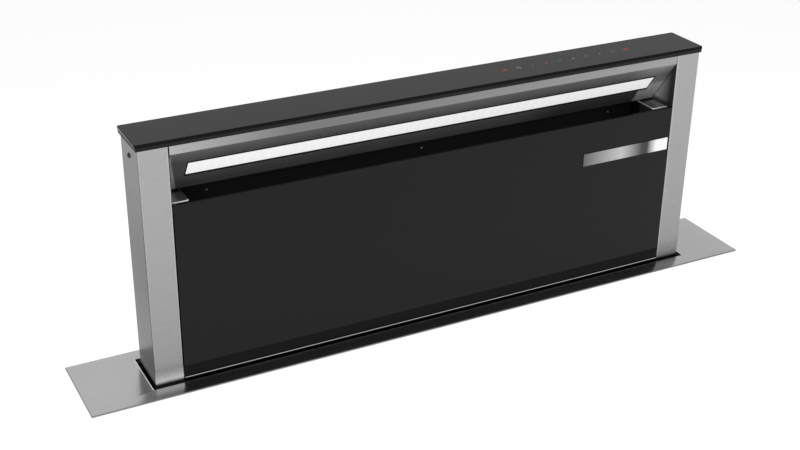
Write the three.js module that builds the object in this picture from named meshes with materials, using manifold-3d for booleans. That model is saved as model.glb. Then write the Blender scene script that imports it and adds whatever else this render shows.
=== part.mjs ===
// Downdraft vent: a tower that rises out of the counter behind a cooktop, with the housing,
// lift drive and blower that stand in the cabinet below it.
//
// Millimetres, +z up. While it is built, x = 0 is the middle of the tower, y = 0 is the
// tower's front face with +y towards the back, and z = 0 is the top of the counter plate.
// The tower is drawn raised. The last lines set the whole unit on its feet.

import * as THREE from "three";
import { mergeVertices } from "three/addons/utils/BufferGeometryUtils.js";
import Module from "manifold-3d";

const wasm = await Module();
wasm.setup();

// ---------------------------------------------------------------- driving dimensions

const pieceGap = 0.3; // between neighbours that nearly touch

// Tower
const towerWidth = 751;
const towerDepth = 60.2;
const towerRise = 294.2; // counter plate to the underside of the cap
const towerSkirt = 18; // length of tower that stays below the counter plate
const liftStroke = 300;
const coverSheet = 1.2; // stainless covers
const columnWidth = 34.6;
const columnBend = 1.5;
const legGauge = 2;
const legFlange = 12;
const legDepth = 36.5; // depth of the leg below the tower
const rearFold = 10; // rear panel's fold under the cap
const rearHem = 4; // rear panel's hem at the open foot of the tower

// Cap
const capOverhangSide = 2.7;
const capOverhangFront = 1.7;
const capOverhangBack = 2.4;
const capTrayHeight = 4;
const capTrayInset = 0.8;
const capTraySheet = 1;
const capGlassThickness = 4.1;
const touchBoardWidth = 196;
const touchBoardDepth = 26;
const touchBoardThickness = 1.6;
const touchBoardFromRight = 188; // board's middle to the tower's right side
const touchRowDepth = 31; // tower's front face to the row of touch fields

// Light trough under the cap
const fasciaHeight = 10.7;
const slopeRun = 42;
const slopeDrop = 60;
const troughFlange = 18;
const lightFromFascia = 22.5; // along the slope
const troughEndGap = 0.8; // end of the trough to the face of the column
const lightHeight = 23.9;
const lightEndInset = 25.3; // end of the light to the face of the column
const lightFrameGap = 0.5;
const diffuserThickness = 3;
const ledCarrierDepth = 14;
const ledCarrierMargin = 5;

// Ends of the intake slot
const shelfDrop = 2.7; // lower edge of the slope down to the end shelves
const shelfWidth = 22.6;
const shelfFront = 11.8;
const shelfHem = 24;
const shelfTab = 16;

// Front panel
const panelAboveShelf = 2.8; // top of the glass over the shelves
const panelFoot = 2.7; // counter plate to the glass
const panelSideGap = 0.8;
const panelGlass = 4;
const carrierSheet = 1;
const carrierDepth = 4.2;
const carrierInset = 3;
const hingePinRadius = 1.6;
const hingePinReach = 5;
const hingeDepth = 6.5; // tower's front face to the panel's hinge line
const hingeHeight = 9; // counter plate to the panel's hinge line
const badgeWidth = 133;
const badgeHeight = 17;
const badgeThickness = 1.2;
const badgeEdge = 3; // badge to the side of the glass
const badgeBelowTop = 41;

// Grease filters
const gutterFront = 9.5;
const gutterWidth = 14.5;
const gutterHeight = 12;
const gutterSheet = 1.2;
const filterThickness = 9;
const filterBorder = 12;
const filterSideGap = 4.6;
const filterRearGap = 1.8;
const filterBelowPanelTop = 36;
const filterSheet = 1;
const baffleCount = 12; // in the front row; the back row holds one less
const baffleWidth = 15;
const baffleLip = 3;
const latchWidth = 28;
const latchHeight = 21;
const latchSheet = 2.5;
const latchTongueWidth = 12;
const latchTongueReach = 6;
const keeperDepth = 12;
const keeperSheet = 1.5;

// Counter plate and the frame under it
const plateThickness = 1.2;
const gasketThickness = 1;
const gasketInset = 1; // edge of the plate to the gasket
const gasketGap = 0.5; // gasket to the housing
const plateSideMargin = 83.5;
const plateFrontMargin = 27.5;
const plateBackMargin = 26.4;
const cutoutSideGap = 4.7;
const cutoutFrontGap = 6.4;
const cutoutBackGap = 7.2;
const neckGauge = 1.5;
const neckDepth = 12.8;
const sealThickness = 4;
const sealLipGap = 2; // seal to the tower
const sealSeat = 8; // seal under the plate
const counterThickness = 30;

// Housing in the cabinet
const chassisSideRoom = 45.5; // tower to the outside of the housing
const chassisFrontRoom = 21;
const chassisBackRoom = 20.8;
const chassisSheet = 1;
const chassisReturn = 13;
const chassisBottomRoom = 44; // lowered legs to the floor of the housing
const beadWidth = 14; // pressed stiffening beads
const beadRise = 2;
const beadTaper = 8;
const beadFromFloor = 60;
const beadFromTop = 92;
const beadAboveBlower = 36;
const floorFlange = 14;
const railWidth = 18;
const railDepth = 24;
const railGauge = 1.5;
const railFront = 3;
const runnerGap = 0.5;
const runnerStem = 8;
const clampReach = 26;
const clampHeight = 66;

// Lift drive
const gearModule = 2;
const pinionTeeth = 18;
const pressureAngle = THREE.MathUtils.degToRad(20);
const gearBacklash = 0.24;
const pinionWidth = 7.5;
const pinionHubRadius = 10;
const pinionHubLength = 8;
const rackWidth = 10;
const rackBack = 24; // tower's front face to the back of the racks
const rackBody = 7.5; // back of the rack to the roots of its teeth
const rackOverrun = 20; // rack beyond the pinion's centre at each end of the stroke
const shaftBelowTower = 22; // shaft to the bottom of the lowered tower
const shaftRadius = 6;
const bearingWidth = 26;
const bearingRadius = 13;
const gearboxPlace = 175; // middle of the tower to the middle of the gearbox
const gearboxWidth = 50;
const gearboxDrop = 56;
const gearboxRoom = 5; // gearbox to the lowered tower
const gearboxDepth = 48;
const gearMotorRadius = 20;
const gearMotorLength = 86;

// Blower
const blowerWidth = 440;
const blowerHeight = 375;
const blowerDepth = 160.1;
const blowerSheet = 1;
const blowerCoverSheet = 1.2;
const blowerPlenum = 8; // housing wall to the inlet plate
const wheelSide = 40; // middle of the tower to the blower wheel's axis
const wheelHeight = 175; // bottom of the blower to the wheel's axis
const wheelRadius = 105;
const wheelEyeRadius = 88;
const wheelFrontRoom = 12.5;
const wheelRearRoom = 11.5;
const bladeCount = 30;
const bladeThickness = 1.3;
const bladeSweep = THREE.MathUtils.degToRad(9);
const shroudThickness = 4;
const wheelDiscThickness = 2.5;
const wheelCupRadius = 49.5;
const wheelCupWall = 2;
const wheelCupDepth = 58;
const inletRadius = 84;
const inletFlare = 13;
const scrollStart = 118; // axis to the scroll at its tongue
const scrollEnd = 188; // axis to the scroll where the duct begins
const scrollGauge = 1.5;
const tongueAngle = THREE.MathUtils.degToRad(112);
const tongueRadius = 8;
const ductFall = THREE.MathUtils.degToRad(22);
const motorRadius = 46;
const motorFlangeRadius = 62;
const motorLength = 64;
const motorShaftRadius = 5;
const collarRadius = 75;
const collarWall = 1.5;
const collarLength = 50;
const collarFlangeMargin = 1.5;
const damperInset = 12; // collar's flange to the damper pin
const damperPinRadius = 2;
const damperThickness = 1.2;
const damperKnuckleWall = 1.4;
const damperRimGap = 2;

// Electronics and feet
const electronicsWidth = 160;
const electronicsHeight = 100;
const electronicsDepth = 64;
const electronicsLid = 6;
const glandRadius = 9;
const glandLength = 14;
const footRailPlace = 195;
const footRailWidth = 40;
const footRailHeight = 19;
const footRailSheet = 1.8;
const footHeight = 33; // floor to the underside of the housing
const footPadRadius = 20;
const footPadThickness = 6;
const footStemRadius = 5;
const footInset = 24; // end of a foot rail to the foot

// ---------------------------------------------------------------- derived places

const grow = (plan, side, front, back) => ({
  left: plan.left - side,
  right: plan.right + side,
  front: plan.front - front,
  back: plan.back + back,
});
const inset = (plan, by) => grow(plan, -by, -by, -by);

const towerPlan = { left: -towerWidth / 2, right: towerWidth / 2, front: 0, back: towerDepth };
const capPlan = grow(towerPlan, capOverhangSide, capOverhangFront, capOverhangBack);
const platePlan = grow(towerPlan, plateSideMargin, plateFrontMargin, plateBackMargin);
const cutoutPlan = grow(towerPlan, cutoutSideGap, cutoutFrontGap, cutoutBackGap);
const chassisPlan = grow(towerPlan, chassisSideRoom, chassisFrontRoom, chassisBackRoom);
const chassisInside = inset(chassisPlan, chassisSheet);

const bayHalf = towerWidth / 2 - columnWidth; // middle to the inner face of a column
const bayFit = bayHalf - pieceGap;
const towerBottom = -towerSkirt;
const rearInner = towerDepth - coverSheet;

const slopeTop = towerRise - fasciaHeight;
const slopeBottom = slopeTop - slopeDrop;
const slopeAngle = Math.atan2(slopeRun, slopeDrop);
const shelfTop = slopeBottom - shelfDrop;
const shelfInner = bayHalf - shelfWidth;
const panelTop = shelfTop + panelAboveShelf;

const shaftHeight = towerBottom - liftStroke - shaftBelowTower;
const legBottom = shaftHeight - rackOverrun;
const legOuter = towerWidth / 2 - coverSheet - pieceGap;
const rackTop = towerBottom - 2;
const pinionRadius = (gearModule * pinionTeeth) / 2;
const rackPitchLine = rackBack + rackBody + 1.25 * gearModule;
const shaftDepth = rackPitchLine + pinionRadius;

const plateUnderside = -plateThickness;
const neckUnderside = plateUnderside - neckGauge;
const floorTop = legBottom - liftStroke - chassisBottomRoom;
const chassisUnderside = floorTop - chassisSheet;

const blowerTop = chassisUnderside + blowerHeight;
const blowerBack = chassisPlan.front;
const blowerFront = blowerBack - blowerDepth;
const inletPlate = blowerBack - blowerPlenum;
const wheelAxis = { x: wheelSide, z: chassisUnderside + wheelHeight };
const wheelFront = blowerFront + wheelFrontRoom;
const wheelRear = inletPlate - wheelRearRoom;
const ductEnd = -blowerWidth / 2 + blowerSheet + pieceGap;
const ductTop = wheelAxis.z + scrollEnd;
const collarDepth = (blowerFront + inletPlate) / 2;

// ---------------------------------------------------------------- shape tools

/** A closed mesh with only positions, shared corners and no triangle of zero width. */
function cleaned(geometry) {
  const plain = geometry.clone();
  plain.deleteAttribute("normal");
  plain.deleteAttribute("uv");
  const merged = mergeVertices(plain, 1e-3);
  const corners = merged.index.array;
  const kept = [];
  for (let i = 0; i < corners.length; i += 3) {
    const [a, b, c] = [corners[i], corners[i + 1], corners[i + 2]];
    if (a !== b && b !== c && c !== a) kept.push(a, b, c);
  }
  merged.setIndex(kept);
  merged.clearGroups();
  return merged;
}

function solidOf(geometry) {
  const closed = cleaned(geometry);
  const vertProperties = closed.attributes.position.array;
  const triVerts = new Uint32Array(closed.index.array);
  return new wasm.Manifold(new wasm.Mesh({ numProp: 3, vertProperties, triVerts }));
}

function geometryOf(solid) {
  const mesh = solid.getMesh();
  const geometry = new THREE.BufferGeometry();
  geometry.setAttribute("position", new THREE.BufferAttribute(mesh.vertProperties, 3));
  geometry.setIndex(new THREE.BufferAttribute(mesh.triVerts, 1));
  return geometry;
}

function joined(first, ...others) {
  const whole = others.reduce((sum, other) => sum.add(solidOf(other)), solidOf(first));
  return geometryOf(whole);
}

function cut(body, ...tools) {
  const rest = tools.reduce((left, tool) => left.subtract(solidOf(tool)), solidOf(body));
  return geometryOf(rest);
}

const shapeOf = (points) => new THREE.Shape(points.map(([a, b]) => new THREE.Vector2(a, b)));

/** Pushes an outline from low to high along x, y or z; its own two axes are the others. */
function prism(axis, outline, low, high, curveSegments = 12) {
  const shape = Array.isArray(outline) ? shapeOf(outline) : outline;
  const options = { depth: high - low, bevelEnabled: false, curveSegments };
  const geometry = new THREE.ExtrudeGeometry(shape, options);
  const place = new THREE.Matrix4();
  const [x, y, z] = [new THREE.Vector3(1, 0, 0), new THREE.Vector3(0, 1, 0), new THREE.Vector3(0, 0, 1)];
  if (axis === "x") place.makeBasis(y, z, x).setPosition(low, 0, 0); // outline in (y, z)
  if (axis === "y") place.makeBasis(x, z, y.clone().negate()).setPosition(0, high, 0); // in (x, z)
  if (axis === "z") place.makeTranslation(0, 0, low); // outline in (x, y)
  return cleaned(geometry.applyMatrix4(place));
}

function block(x, y, z) {
  const geometry = new THREE.BoxGeometry(x[1] - x[0], y[1] - y[0], z[1] - z[0]);
  geometry.translate((x[0] + x[1]) / 2, (y[0] + y[1]) / 2, (z[0] + z[1]) / 2);
  return cleaned(geometry);
}

/** A disc or rod along x, y or z through the place given by the other two axes. */
function rod(axis, centre, radius, low, high, sides = 24) {
  const geometry = new THREE.CylinderGeometry(radius, radius, high - low, sides);
  const middle = (low + high) / 2;
  if (axis === "x") geometry.rotateZ(-Math.PI / 2).translate(middle, centre[0], centre[1]);
  if (axis === "y") geometry.translate(centre[0], middle, centre[1]);
  if (axis === "z") geometry.rotateX(Math.PI / 2).translate(centre[0], centre[1], middle);
  return cleaned(geometry);
}

/** Turns a profile of [radius, y] points about the y axis; the profile runs so that it closes. */
function turned(profile, sides = 32) {
  return cleaned(new THREE.LatheGeometry(profile.map(([r, y]) => new THREE.Vector2(r, y)), sides));
}

/** The outline of bent sheet: path is one face of it, and the metal lies to the path's left. */
function sheetOutline(path, gauge) {
  const normals = path.slice(1).map(([a, b], i) => {
    const [fromA, fromB] = path[i];
    const length = Math.hypot(a - fromA, b - fromB);
    return [-(b - fromB) / length, (a - fromA) / length];
  });
  const far = path.map(([a, b], i) => {
    const before = normals[Math.max(i - 1, 0)];
    const after = normals[Math.min(i, normals.length - 1)];
    const share = gauge / (1 + before[0] * after[0] + before[1] * after[1]);
    return [a + (before[0] + after[0]) * share, b + (before[1] + after[1]) * share];
  });
  return [...path, ...far.reverse()];
}

const corners = ({ left, right, front, back }) => [
  [left, front],
  [right, front],
  [right, back],
  [left, back],
];

/** A rectangle with round corners as a THREE.Shape. */
function roundedRectangle({ left, right, front, back }, radius) {
  const shape = new THREE.Shape();
  shape.moveTo(left + radius, front);
  shape.lineTo(right - radius, front);
  shape.absarc(right - radius, front + radius, radius, -Math.PI / 2, 0);
  shape.lineTo(right, back - radius);
  shape.absarc(right - radius, back - radius, radius, 0, Math.PI / 2);
  shape.lineTo(left + radius, back);
  shape.absarc(left + radius, back - radius, radius, Math.PI / 2, Math.PI);
  shape.lineTo(left, front + radius);
  shape.absarc(left + radius, front + radius, radius, Math.PI, 1.5 * Math.PI);
  return shape;
}

function withHole(points, hole) {
  const shape = shapeOf(points);
  shape.holes.push(hole);
  return shape;
}

function circle([a, b], radius) {
  const path = new THREE.Path();
  path.absarc(a, b, radius, 0, 2 * Math.PI, true);
  return path;
}

const frameBetween = (outer, inner, low, high) =>
  prism("z", withHole(corners(outer), shapeOf(corners(inner))), low, high);

// ---------------------------------------------------------------- materials

const finish = (color, roughness, metalness) => () =>
  new THREE.MeshStandardMaterial({ color, roughness, metalness });

const brushedSteel = finish(0xb4b3ae, 0.35, 1);
const polishedSteel = finish(0xc8c7c2, 0.12, 1);
const blackGlass = finish(0x0b0b0c, 0.06, 0);
const blackPaint = finish(0x17171a, 0.45, 0.2);
const opalLight = finish(0xf6f6f4, 0.5, 0);
const blackRubber = finish(0x101010, 0.85, 0);
const galvanised = finish(0xa9adb0, 0.42, 1);
const plainSteel = finish(0x8d8f92, 0.4, 1);
const blackPlastic = finish(0x1b1c1e, 0.6, 0);
const whitePlastic = finish(0xd9dad6, 0.5, 0);
const circuitBoard = finish(0x1d4a33, 0.55, 0);
const aluminium = finish(0xb9bbbd, 0.35, 1);

// ---------------------------------------------------------------- assembly tools

const unit = new THREE.Group();

function add(name, geometry, material, parent = unit) {
  const shown = geometry.index ? geometry.toNonIndexed() : geometry;
  shown.computeVertexNormals();
  const mesh = new THREE.Mesh(shown, material());
  mesh.name = name;
  parent.add(mesh);
  return mesh;
}

/** Adds a piece of the right side, and its mirror image on the left. */
function addPair(name, geometry, material, parent = unit) {
  add(`${name}_right`, geometry, material, parent);
  add(`${name}_left`, geometry, material, parent).scale.x = -1;
}

// ---------------------------------------------------------------- tower

/** Box column of folded stainless sheet, with a hole for the panel's hinge pin. */
function column() {
  const plan = { left: bayHalf, right: towerWidth / 2, front: 0, back: towerDepth };
  const shape = roundedRectangle(plan, columnBend);
  shape.holes.push(shapeOf(corners(inset(plan, coverSheet))));
  const tube = prism("z", shape, towerBottom, towerRise, 3);
  const pinHole = rod(
    "x",
    [hingeDepth, hingeHeight],
    hingePinRadius + pieceGap,
    bayHalf - 1,
    bayHalf + coverSheet + 1,
    16,
  );
  return cut(tube, pinHole);
}

/** Channel upright inside a column; below the tower it narrows to carry runner and rack. */
function leg() {
  const front = coverSheet + pieceGap;
  const back = rearInner - pieceGap;
  const side = [
    [front, legBottom],
    [front + legDepth, legBottom],
    [front + legDepth, rackTop],
    [back, rackTop],
    [back, towerRise],
    [front, towerRise],
  ];
  const across = [legOuter - legGauge - legFlange, legOuter - 0.5 * legGauge];
  const flange = (y, low, high) => block(across, [y, y + legGauge], [low, high]);
  return joined(
    prism("x", side, legOuter - legGauge, legOuter),
    flange(front, legBottom, towerRise),
    flange(back - legGauge, rackTop, towerRise),
    flange(front + legDepth - legGauge, legBottom, rackTop),
  );
}

/** Straight rack: a tooth tip points at the pinion's centre, others follow at one pitch. */
function rack() {
  const pitch = Math.PI * gearModule;
  const root = rackBack + rackBody;
  const tip = rackPitchLine + gearModule;
  const halfAt = (y) => pitch / 4 - gearBacklash / 2 - (y - rackPitchLine) * Math.tan(pressureAngle);
  const first = Math.ceil((legBottom + pitch / 2 - shaftHeight) / pitch);
  const last = Math.floor((rackTop - pitch / 2 - shaftHeight) / pitch);
  const outline = [
    [rackBack, legBottom],
    [root, legBottom],
  ];
  for (let tooth = first; tooth <= last; tooth++) {
    const middle = shaftHeight + tooth * pitch;
    outline.push([root, middle - halfAt(root)], [tip, middle - halfAt(tip)]);
    outline.push([tip, middle + halfAt(tip)], [root, middle + halfAt(root)]);
  }
  outline.push([root, rackTop], [rackBack, rackTop]);
  return prism("x", outline, legOuter, legOuter + rackWidth);
}

/** Long slide that runs in the guide rail, on a stem from the leg. */
function runner() {
  const middle = railFront + railWidth / 2;
  const half = railWidth / 2 - railGauge - runnerGap;
  const inner = chassisInside.right - railDepth + 2;
  const outer = chassisInside.right - railGauge - runnerGap;
  const outline = [
    [legOuter, middle - runnerStem / 2],
    [inner, middle - runnerStem / 2],
    [inner, middle - half],
    [outer, middle - half],
    [outer, middle + half],
    [inner, middle + half],
    [inner, middle + runnerStem / 2],
    [legOuter, middle + runnerStem / 2],
  ];
  return prism("z", outline, legBottom + 5, rackTop - 5);
}

/** Back cover with folded edges and the slotted ledge that closes over the filters. */
function rearPanel(keeperSlots, keeperLow) {
  const path = [
    [rearInner - rearHem, towerBottom],
    [towerDepth, towerBottom],
    [towerDepth, towerRise],
    [rearInner - rearFold, towerRise],
  ];
  const skin = prism("x", sheetOutline(path, coverSheet), -bayFit, bayFit);
  const across = shelfInner - pieceGap;
  const ledge = block(
    [-across, across],
    [rearInner - keeperDepth, rearInner + 0.5 * coverSheet],
    [keeperLow, keeperLow + keeperSheet],
  );
  return joined(skin, cut(ledge, ...keeperSlots));
}

/** Matrix of the sloping face of the trough: x across, y out of the face's back, z up it. */
function slopePlace() {
  const down = new THREE.Vector3(0, Math.sin(slopeAngle), -Math.cos(slopeAngle));
  const behind = new THREE.Vector3(0, Math.cos(slopeAngle), Math.sin(slopeAngle));
  const across = new THREE.Vector3().crossVectors(behind, down.clone().negate());
  return new THREE.Matrix4()
    .makeBasis(across, behind, down.clone().negate())
    .setPosition(0, 0, slopeTop);
}

const lightHalfWidth = bayHalf - lightEndInset;
const lightSpan = [-lightFromFascia - lightHeight, -lightFromFascia];

/** Fascia strip, sloping face and top flange in one bent sheet, with the light's window. */
function lightTrough() {
  const path = [
    [slopeRun, slopeBottom],
    [0, slopeTop],
    [0, towerRise],
    [troughFlange, towerRise],
  ];
  const outline = sheetOutline([...path].reverse(), coverSheet);
  const end = bayHalf - troughEndGap;
  const sheet = prism("x", outline, -end, end);
  const half = lightHalfWidth + lightFrameGap;
  const window = block(
    [-half, half],
    [-5, 5],
    [lightSpan[0] - lightFrameGap, lightSpan[1] + lightFrameGap],
  ).applyMatrix4(slopePlace());
  return cut(sheet, window);
}

function lightDiffuser() {
  return block([-lightHalfWidth, lightHalfWidth], [0, diffuserThickness], lightSpan);
}

/** Channel behind the diffuser that carries the strip of lamps and closes on the trough. */
function ledCarrier() {
  const low = lightSpan[0] - ledCarrierMargin;
  const high = lightSpan[1] + ledCarrierMargin;
  const near = coverSheet + pieceGap;
  const path = [
    [near, low],
    [near + ledCarrierDepth, low],
    [near + ledCarrierDepth, high],
    [near, high],
  ];
  const half = lightHalfWidth + ledCarrierMargin;
  return prism("x", sheetOutline(path, coverSheet), -half, half);
}

/** Polished shelf at the end of the intake slot: tab on the column, shelf, hem down. */
function endShelf() {
  const path = [
    [shelfInner, shelfTop - shelfHem],
    [shelfInner, shelfTop],
    [bayFit, shelfTop],
    [bayFit, shelfTop - shelfTab],
  ];
  const outline = sheetOutline([...path].reverse(), coverSheet);
  return prism("y", outline, shelfFront, rearInner - pieceGap);
}

/** Gutter across the foot of the tower that the filters stand in. */
function dripGutter() {
  const back = gutterFront + gutterWidth;
  const path = [
    [gutterFront, gutterHeight],
    [gutterFront, 0],
    [back, 0],
    [back, gutterHeight - 3],
  ];
  return prism("x", sheetOutline(path, gutterSheet), -bayFit, bayFit);
}

function capTray() {
  const plan = inset(capPlan, capTrayInset);
  const body = prism("z", corners(plan), towerRise, towerRise + capTrayHeight);
  const hollow = inset(plan, coverSheet);
  const top = towerRise + capTrayHeight + 1;
  return cut(body, prism("z", corners(hollow), towerRise + capTraySheet, top));
}

function capGlass() {
  const low = towerRise + capTrayHeight;
  return prism("z", roundedRectangle(capPlan, 1), low, low + capGlassThickness, 2);
}

function touchBoard() {
  const middle = towerWidth / 2 - touchBoardFromRight;
  const low = towerRise + capTraySheet + pieceGap;
  return block(
    [middle - touchBoardWidth / 2, middle + touchBoardWidth / 2],
    [touchRowDepth - touchBoardDepth / 2, touchRowDepth + touchBoardDepth / 2],
    [low, low + touchBoardThickness],
  );
}

// ---------------------------------------------------------------- front panel

const panelHalf = bayHalf - panelSideGap;

function panelGlassSheet() {
  return block([-panelHalf, panelHalf], [0, panelGlass], [panelFoot, panelTop]);
}

/** Steel tray behind the glass; its lower edge wraps under the glass as a bright line. */
function panelCarrier() {
  const back = panelGlass + carrierDepth;
  const half = panelHalf - carrierInset;
  const lip = panelFoot - 1.5;
  const top = panelTop - carrierInset;
  const sheetBack = panelGlass + carrierSheet;
  const hollow = half - carrierSheet;
  const foldFoot = hingeHeight - 4;
  const tray = cut(
    block([-half, half], [panelGlass, back], [lip, top]),
    block([-hollow, hollow], [sheetBack, back + 1], [lip - 1, top - carrierSheet]),
    block([-half - 1, half + 1], [sheetBack, back + 1], [lip - 1, foldFoot]),
  );
  const boss = (x) => block([x, x + 7.5], [panelGlass + 0.5, back - 0.4], [foldFoot + 0.5, foldFoot + 8.5]);
  const stub = (x) => rod("x", [hingeDepth, hingeHeight], hingePinRadius, x, x + 2 * hingePinReach, 16);
  return joined(
    tray,
    block([-panelHalf, panelHalf], [0, panelGlass + 0.4], [lip + 0.1, panelFoot]),
    boss(-half + 0.5),
    boss(half - 8),
    stub(-half - carrierInset - hingePinReach + 1),
    stub(half + carrierInset - hingePinReach - 1),
  );
}

function badgeStrip() {
  const right = panelHalf - badgeEdge;
  const top = panelTop - badgeBelowTop;
  return block([right - badgeWidth, right], [-badgeThickness, 0], [top - badgeHeight, top]);
}

// ---------------------------------------------------------------- grease filters

const filterFoot = {
  y: gutterFront + gutterSheet + 0.8,
  z: gutterSheet + 2.4,
};
const filterLength = panelTop - filterBelowPanelTop;
const filterRun = rearInner - filterRearGap - filterThickness - filterFoot.y;
const filterTilt = Math.asin(filterRun / filterLength);

const filterRack = new THREE.Group();
filterRack.position.set(0, filterFoot.y, filterFoot.z);
filterRack.rotation.x = -filterTilt;
filterRack.updateMatrix();
unit.add(filterRack);

const filterOuter = bayHalf - filterSideGap;
const filterInner = 1.5;
const latchMiddle = (filterOuter + filterInner) / 2;

/** Baffle filter: a frame with two rows of channels, each facing the gaps of the other. */
function filter() {
  const frame = prism(
    "y",
    withHole(
      [
        [filterInner, 0],
        [filterOuter, 0],
        [filterOuter, filterLength],
        [filterInner, filterLength],
      ],
      shapeOf([
        [filterInner + filterBorder, filterBorder],
        [filterOuter - filterBorder, filterBorder],
        [filterOuter - filterBorder, filterLength - filterBorder],
        [filterInner + filterBorder, filterLength - filterBorder],
      ]),
    ),
    0,
    filterThickness,
  );
  const clear = filterOuter - filterInner - 2 * filterBorder;
  const pitch = clear / baffleCount;
  const reach = [filterBorder - 2, filterLength - filterBorder + 2];
  const baffles = [];
  for (let i = 0; i < 2 * baffleCount - 1; i++) {
    const middle = filterInner + filterBorder + (pitch * (i + 1)) / 2;
    const front = i % 2 === 0;
    const face = front ? 1 : filterThickness - 1;
    const lip = front ? face + baffleLip : face - baffleLip;
    const half = front ? baffleWidth / 2 : -baffleWidth / 2;
    const path = [
      [middle - half, lip],
      [middle - half, face],
      [middle + half, face],
      [middle + half, lip],
    ];
    baffles.push(prism("z", sheetOutline(path, filterSheet), ...reach));
  }
  return joined(frame, ...baffles);
}

/** Slide latch on the face of a filter: plate, finger tab, and the tongue in the ledge. */
function filterLatch() {
  const face = [-pieceGap - latchSheet, -pieceGap];
  const top = filterLength - 1;
  const low = top - latchHeight;
  const across = (width) => [latchMiddle - width / 2, latchMiddle + width / 2];
  return joined(
    block(across(latchWidth), face, [low, top]),
    block(across(latchTongueWidth), face, [top - 2, filterLength + latchTongueReach]),
    block(across(latchWidth - 6), [face[0] - 6, face[1] - 1], [low + 2, low + 4.5]),
  );
}

/** Height of the rear panel's ledge, just above the top of the tilted filters. */
const keeperLow = filterFoot.z + filterLength * Math.cos(filterTilt) + 2.5;

/** The holes that the latches' tongues stand in. */
function keeperSlots() {
  const half = latchTongueWidth / 2 + 1;
  const slot = (middle) =>
    block(
      [middle - half, middle + half],
      [-pieceGap - latchSheet - 1.5, 0.8],
      [filterLength - 10, filterLength + latchTongueReach + 10],
    ).applyMatrix4(filterRack.matrix);
  return [slot(latchMiddle), slot(-latchMiddle)];
}

// ---------------------------------------------------------------- counter plate

function counterPlate() {
  return frameBetween(platePlan, cutoutPlan, plateUnderside, 0);
}

/** Foam strip under the rim of the plate, all round the housing, that lies on the counter. */
function counterGasket() {
  const outer = inset(platePlan, gasketInset);
  const inner = grow(chassisPlan, gasketGap, gasketGap, gasketGap);
  return frameBetween(outer, inner, plateUnderside - gasketThickness, plateUnderside);
}

/** Angle frame that hangs the housing from the plate. */
function neckFrame() {
  const opening = grow(cutoutPlan, 1.5, 1.5, 1.5);
  const skirt = inset(chassisInside, chassisSheet + pieceGap);
  const skirtInside = inset(skirt, neckGauge);
  return joined(
    frameBetween(chassisPlan, opening, neckUnderside, plateUnderside),
    frameBetween(skirt, skirtInside, plateUnderside - neckDepth, plateUnderside - neckGauge / 2),
  );
}

function wiperSeal() {
  const outer = grow(cutoutPlan, sealSeat, sealSeat, sealSeat);
  const lip = grow(towerPlan, sealLipGap, sealLipGap, sealLipGap);
  return frameBetween(outer, lip, neckUnderside - sealThickness, neckUnderside);
}

// ---------------------------------------------------------------- housing

/** Pressed bead on a wall: tapered at both ends; out is the wall's face, then the crest. */
function bead(axis, out, middle, low, high) {
  const [face, crest] = out;
  const root = face - Math.sign(crest - face) * 0.5 * chassisSheet;
  const outline = [
    [root, low],
    [face, low],
    [crest, low + beadTaper],
    [crest, high - beadTaper],
    [face, high],
    [root, high],
  ];
  return prism(axis, outline, middle - beadWidth / 2, middle + beadWidth / 2);
}

const beadTop = plateUnderside - beadFromTop;

/** Rear and end walls bent from one sheet, with returns that the front wall lies on. */
function chassisShell() {
  const { left, right, back } = chassisPlan;
  const front = chassisInside.front;
  const path = [
    [right - chassisReturn, front],
    [right, front],
    [right, back],
    [left, back],
    [left, front],
    [left + chassisReturn, front],
  ];
  const span = [floorTop + beadFromFloor, beadTop];
  const behind = [-3, -1, 1, 3].map((i) =>
    bead("x", [back, back + beadRise], (i * right) / 4, ...span),
  );
  const depth = back - chassisReturn - beadWidth / 2;
  return joined(
    prism("z", sheetOutline(path, chassisSheet), floorTop, neckUnderside),
    ...behind,
    bead("y", [right, right + beadRise], depth, ...span),
    bead("y", [left, left - beadRise], depth, ...span),
  );
}

function chassisFront() {
  const wall = withHole(
    [
      [chassisPlan.left, floorTop],
      [chassisPlan.right, floorTop],
      [chassisPlan.right, neckUnderside],
      [chassisPlan.left, neckUnderside],
    ],
    circle([wheelAxis.x, wheelAxis.z], inletRadius + inletFlare + 1),
  );
  const front = chassisPlan.front;
  const beads = [-0.8, -0.4, 0, 0.4, 0.8].map((share) =>
    bead(
      "x",
      [front, front - beadRise],
      share * chassisPlan.right,
      blowerTop + beadAboveBlower,
      beadTop,
    ),
  );
  return joined(prism("y", wall, front, chassisInside.front, 20), ...beads);
}

function chassisFloor() {
  const plan = inset(chassisInside, chassisSheet + pieceGap);
  return joined(
    prism("z", corners(chassisPlan), chassisUnderside, floorTop),
    frameBetween(plan, inset(plan, chassisSheet), chassisUnderside + 0.5, floorTop + floorFlange),
  );
}

function guideRail() {
  const wall = chassisInside.right;
  const path = [
    [wall - railDepth, railFront],
    [wall, railFront],
    [wall, railFront + railWidth],
    [wall - railDepth, railFront + railWidth],
  ];
  const low = floorTop + floorFlange + 2;
  const high = plateUnderside - neckDepth - 2;
  return prism("z", sheetOutline(path, railGauge), low, high);
}

/** Bracket on the end wall with a screw that presses up against the counter. */
function counterClamp() {
  const wall = chassisPlan.right;
  const top = plateUnderside - gasketThickness - counterThickness;
  const arm = top - 26;
  const middle = towerDepth / 2;
  const path = [
    [wall, arm - clampHeight],
    [wall, arm],
    [wall + clampReach, arm],
  ];
  const bracket = prism("y", sheetOutline([...path].reverse(), 2), middle - 16, middle + 16);
  const screw = [wall + clampReach - 10, middle];
  return joined(
    bracket,
    rod("z", screw, 4, arm - 12, top - 2, 12),
    rod("z", screw, 9, top - 3, top, 16),
    rod("z", screw, 7, arm - 8, arm - 1, 6),
  );
}

// ---------------------------------------------------------------- lift drive

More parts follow.
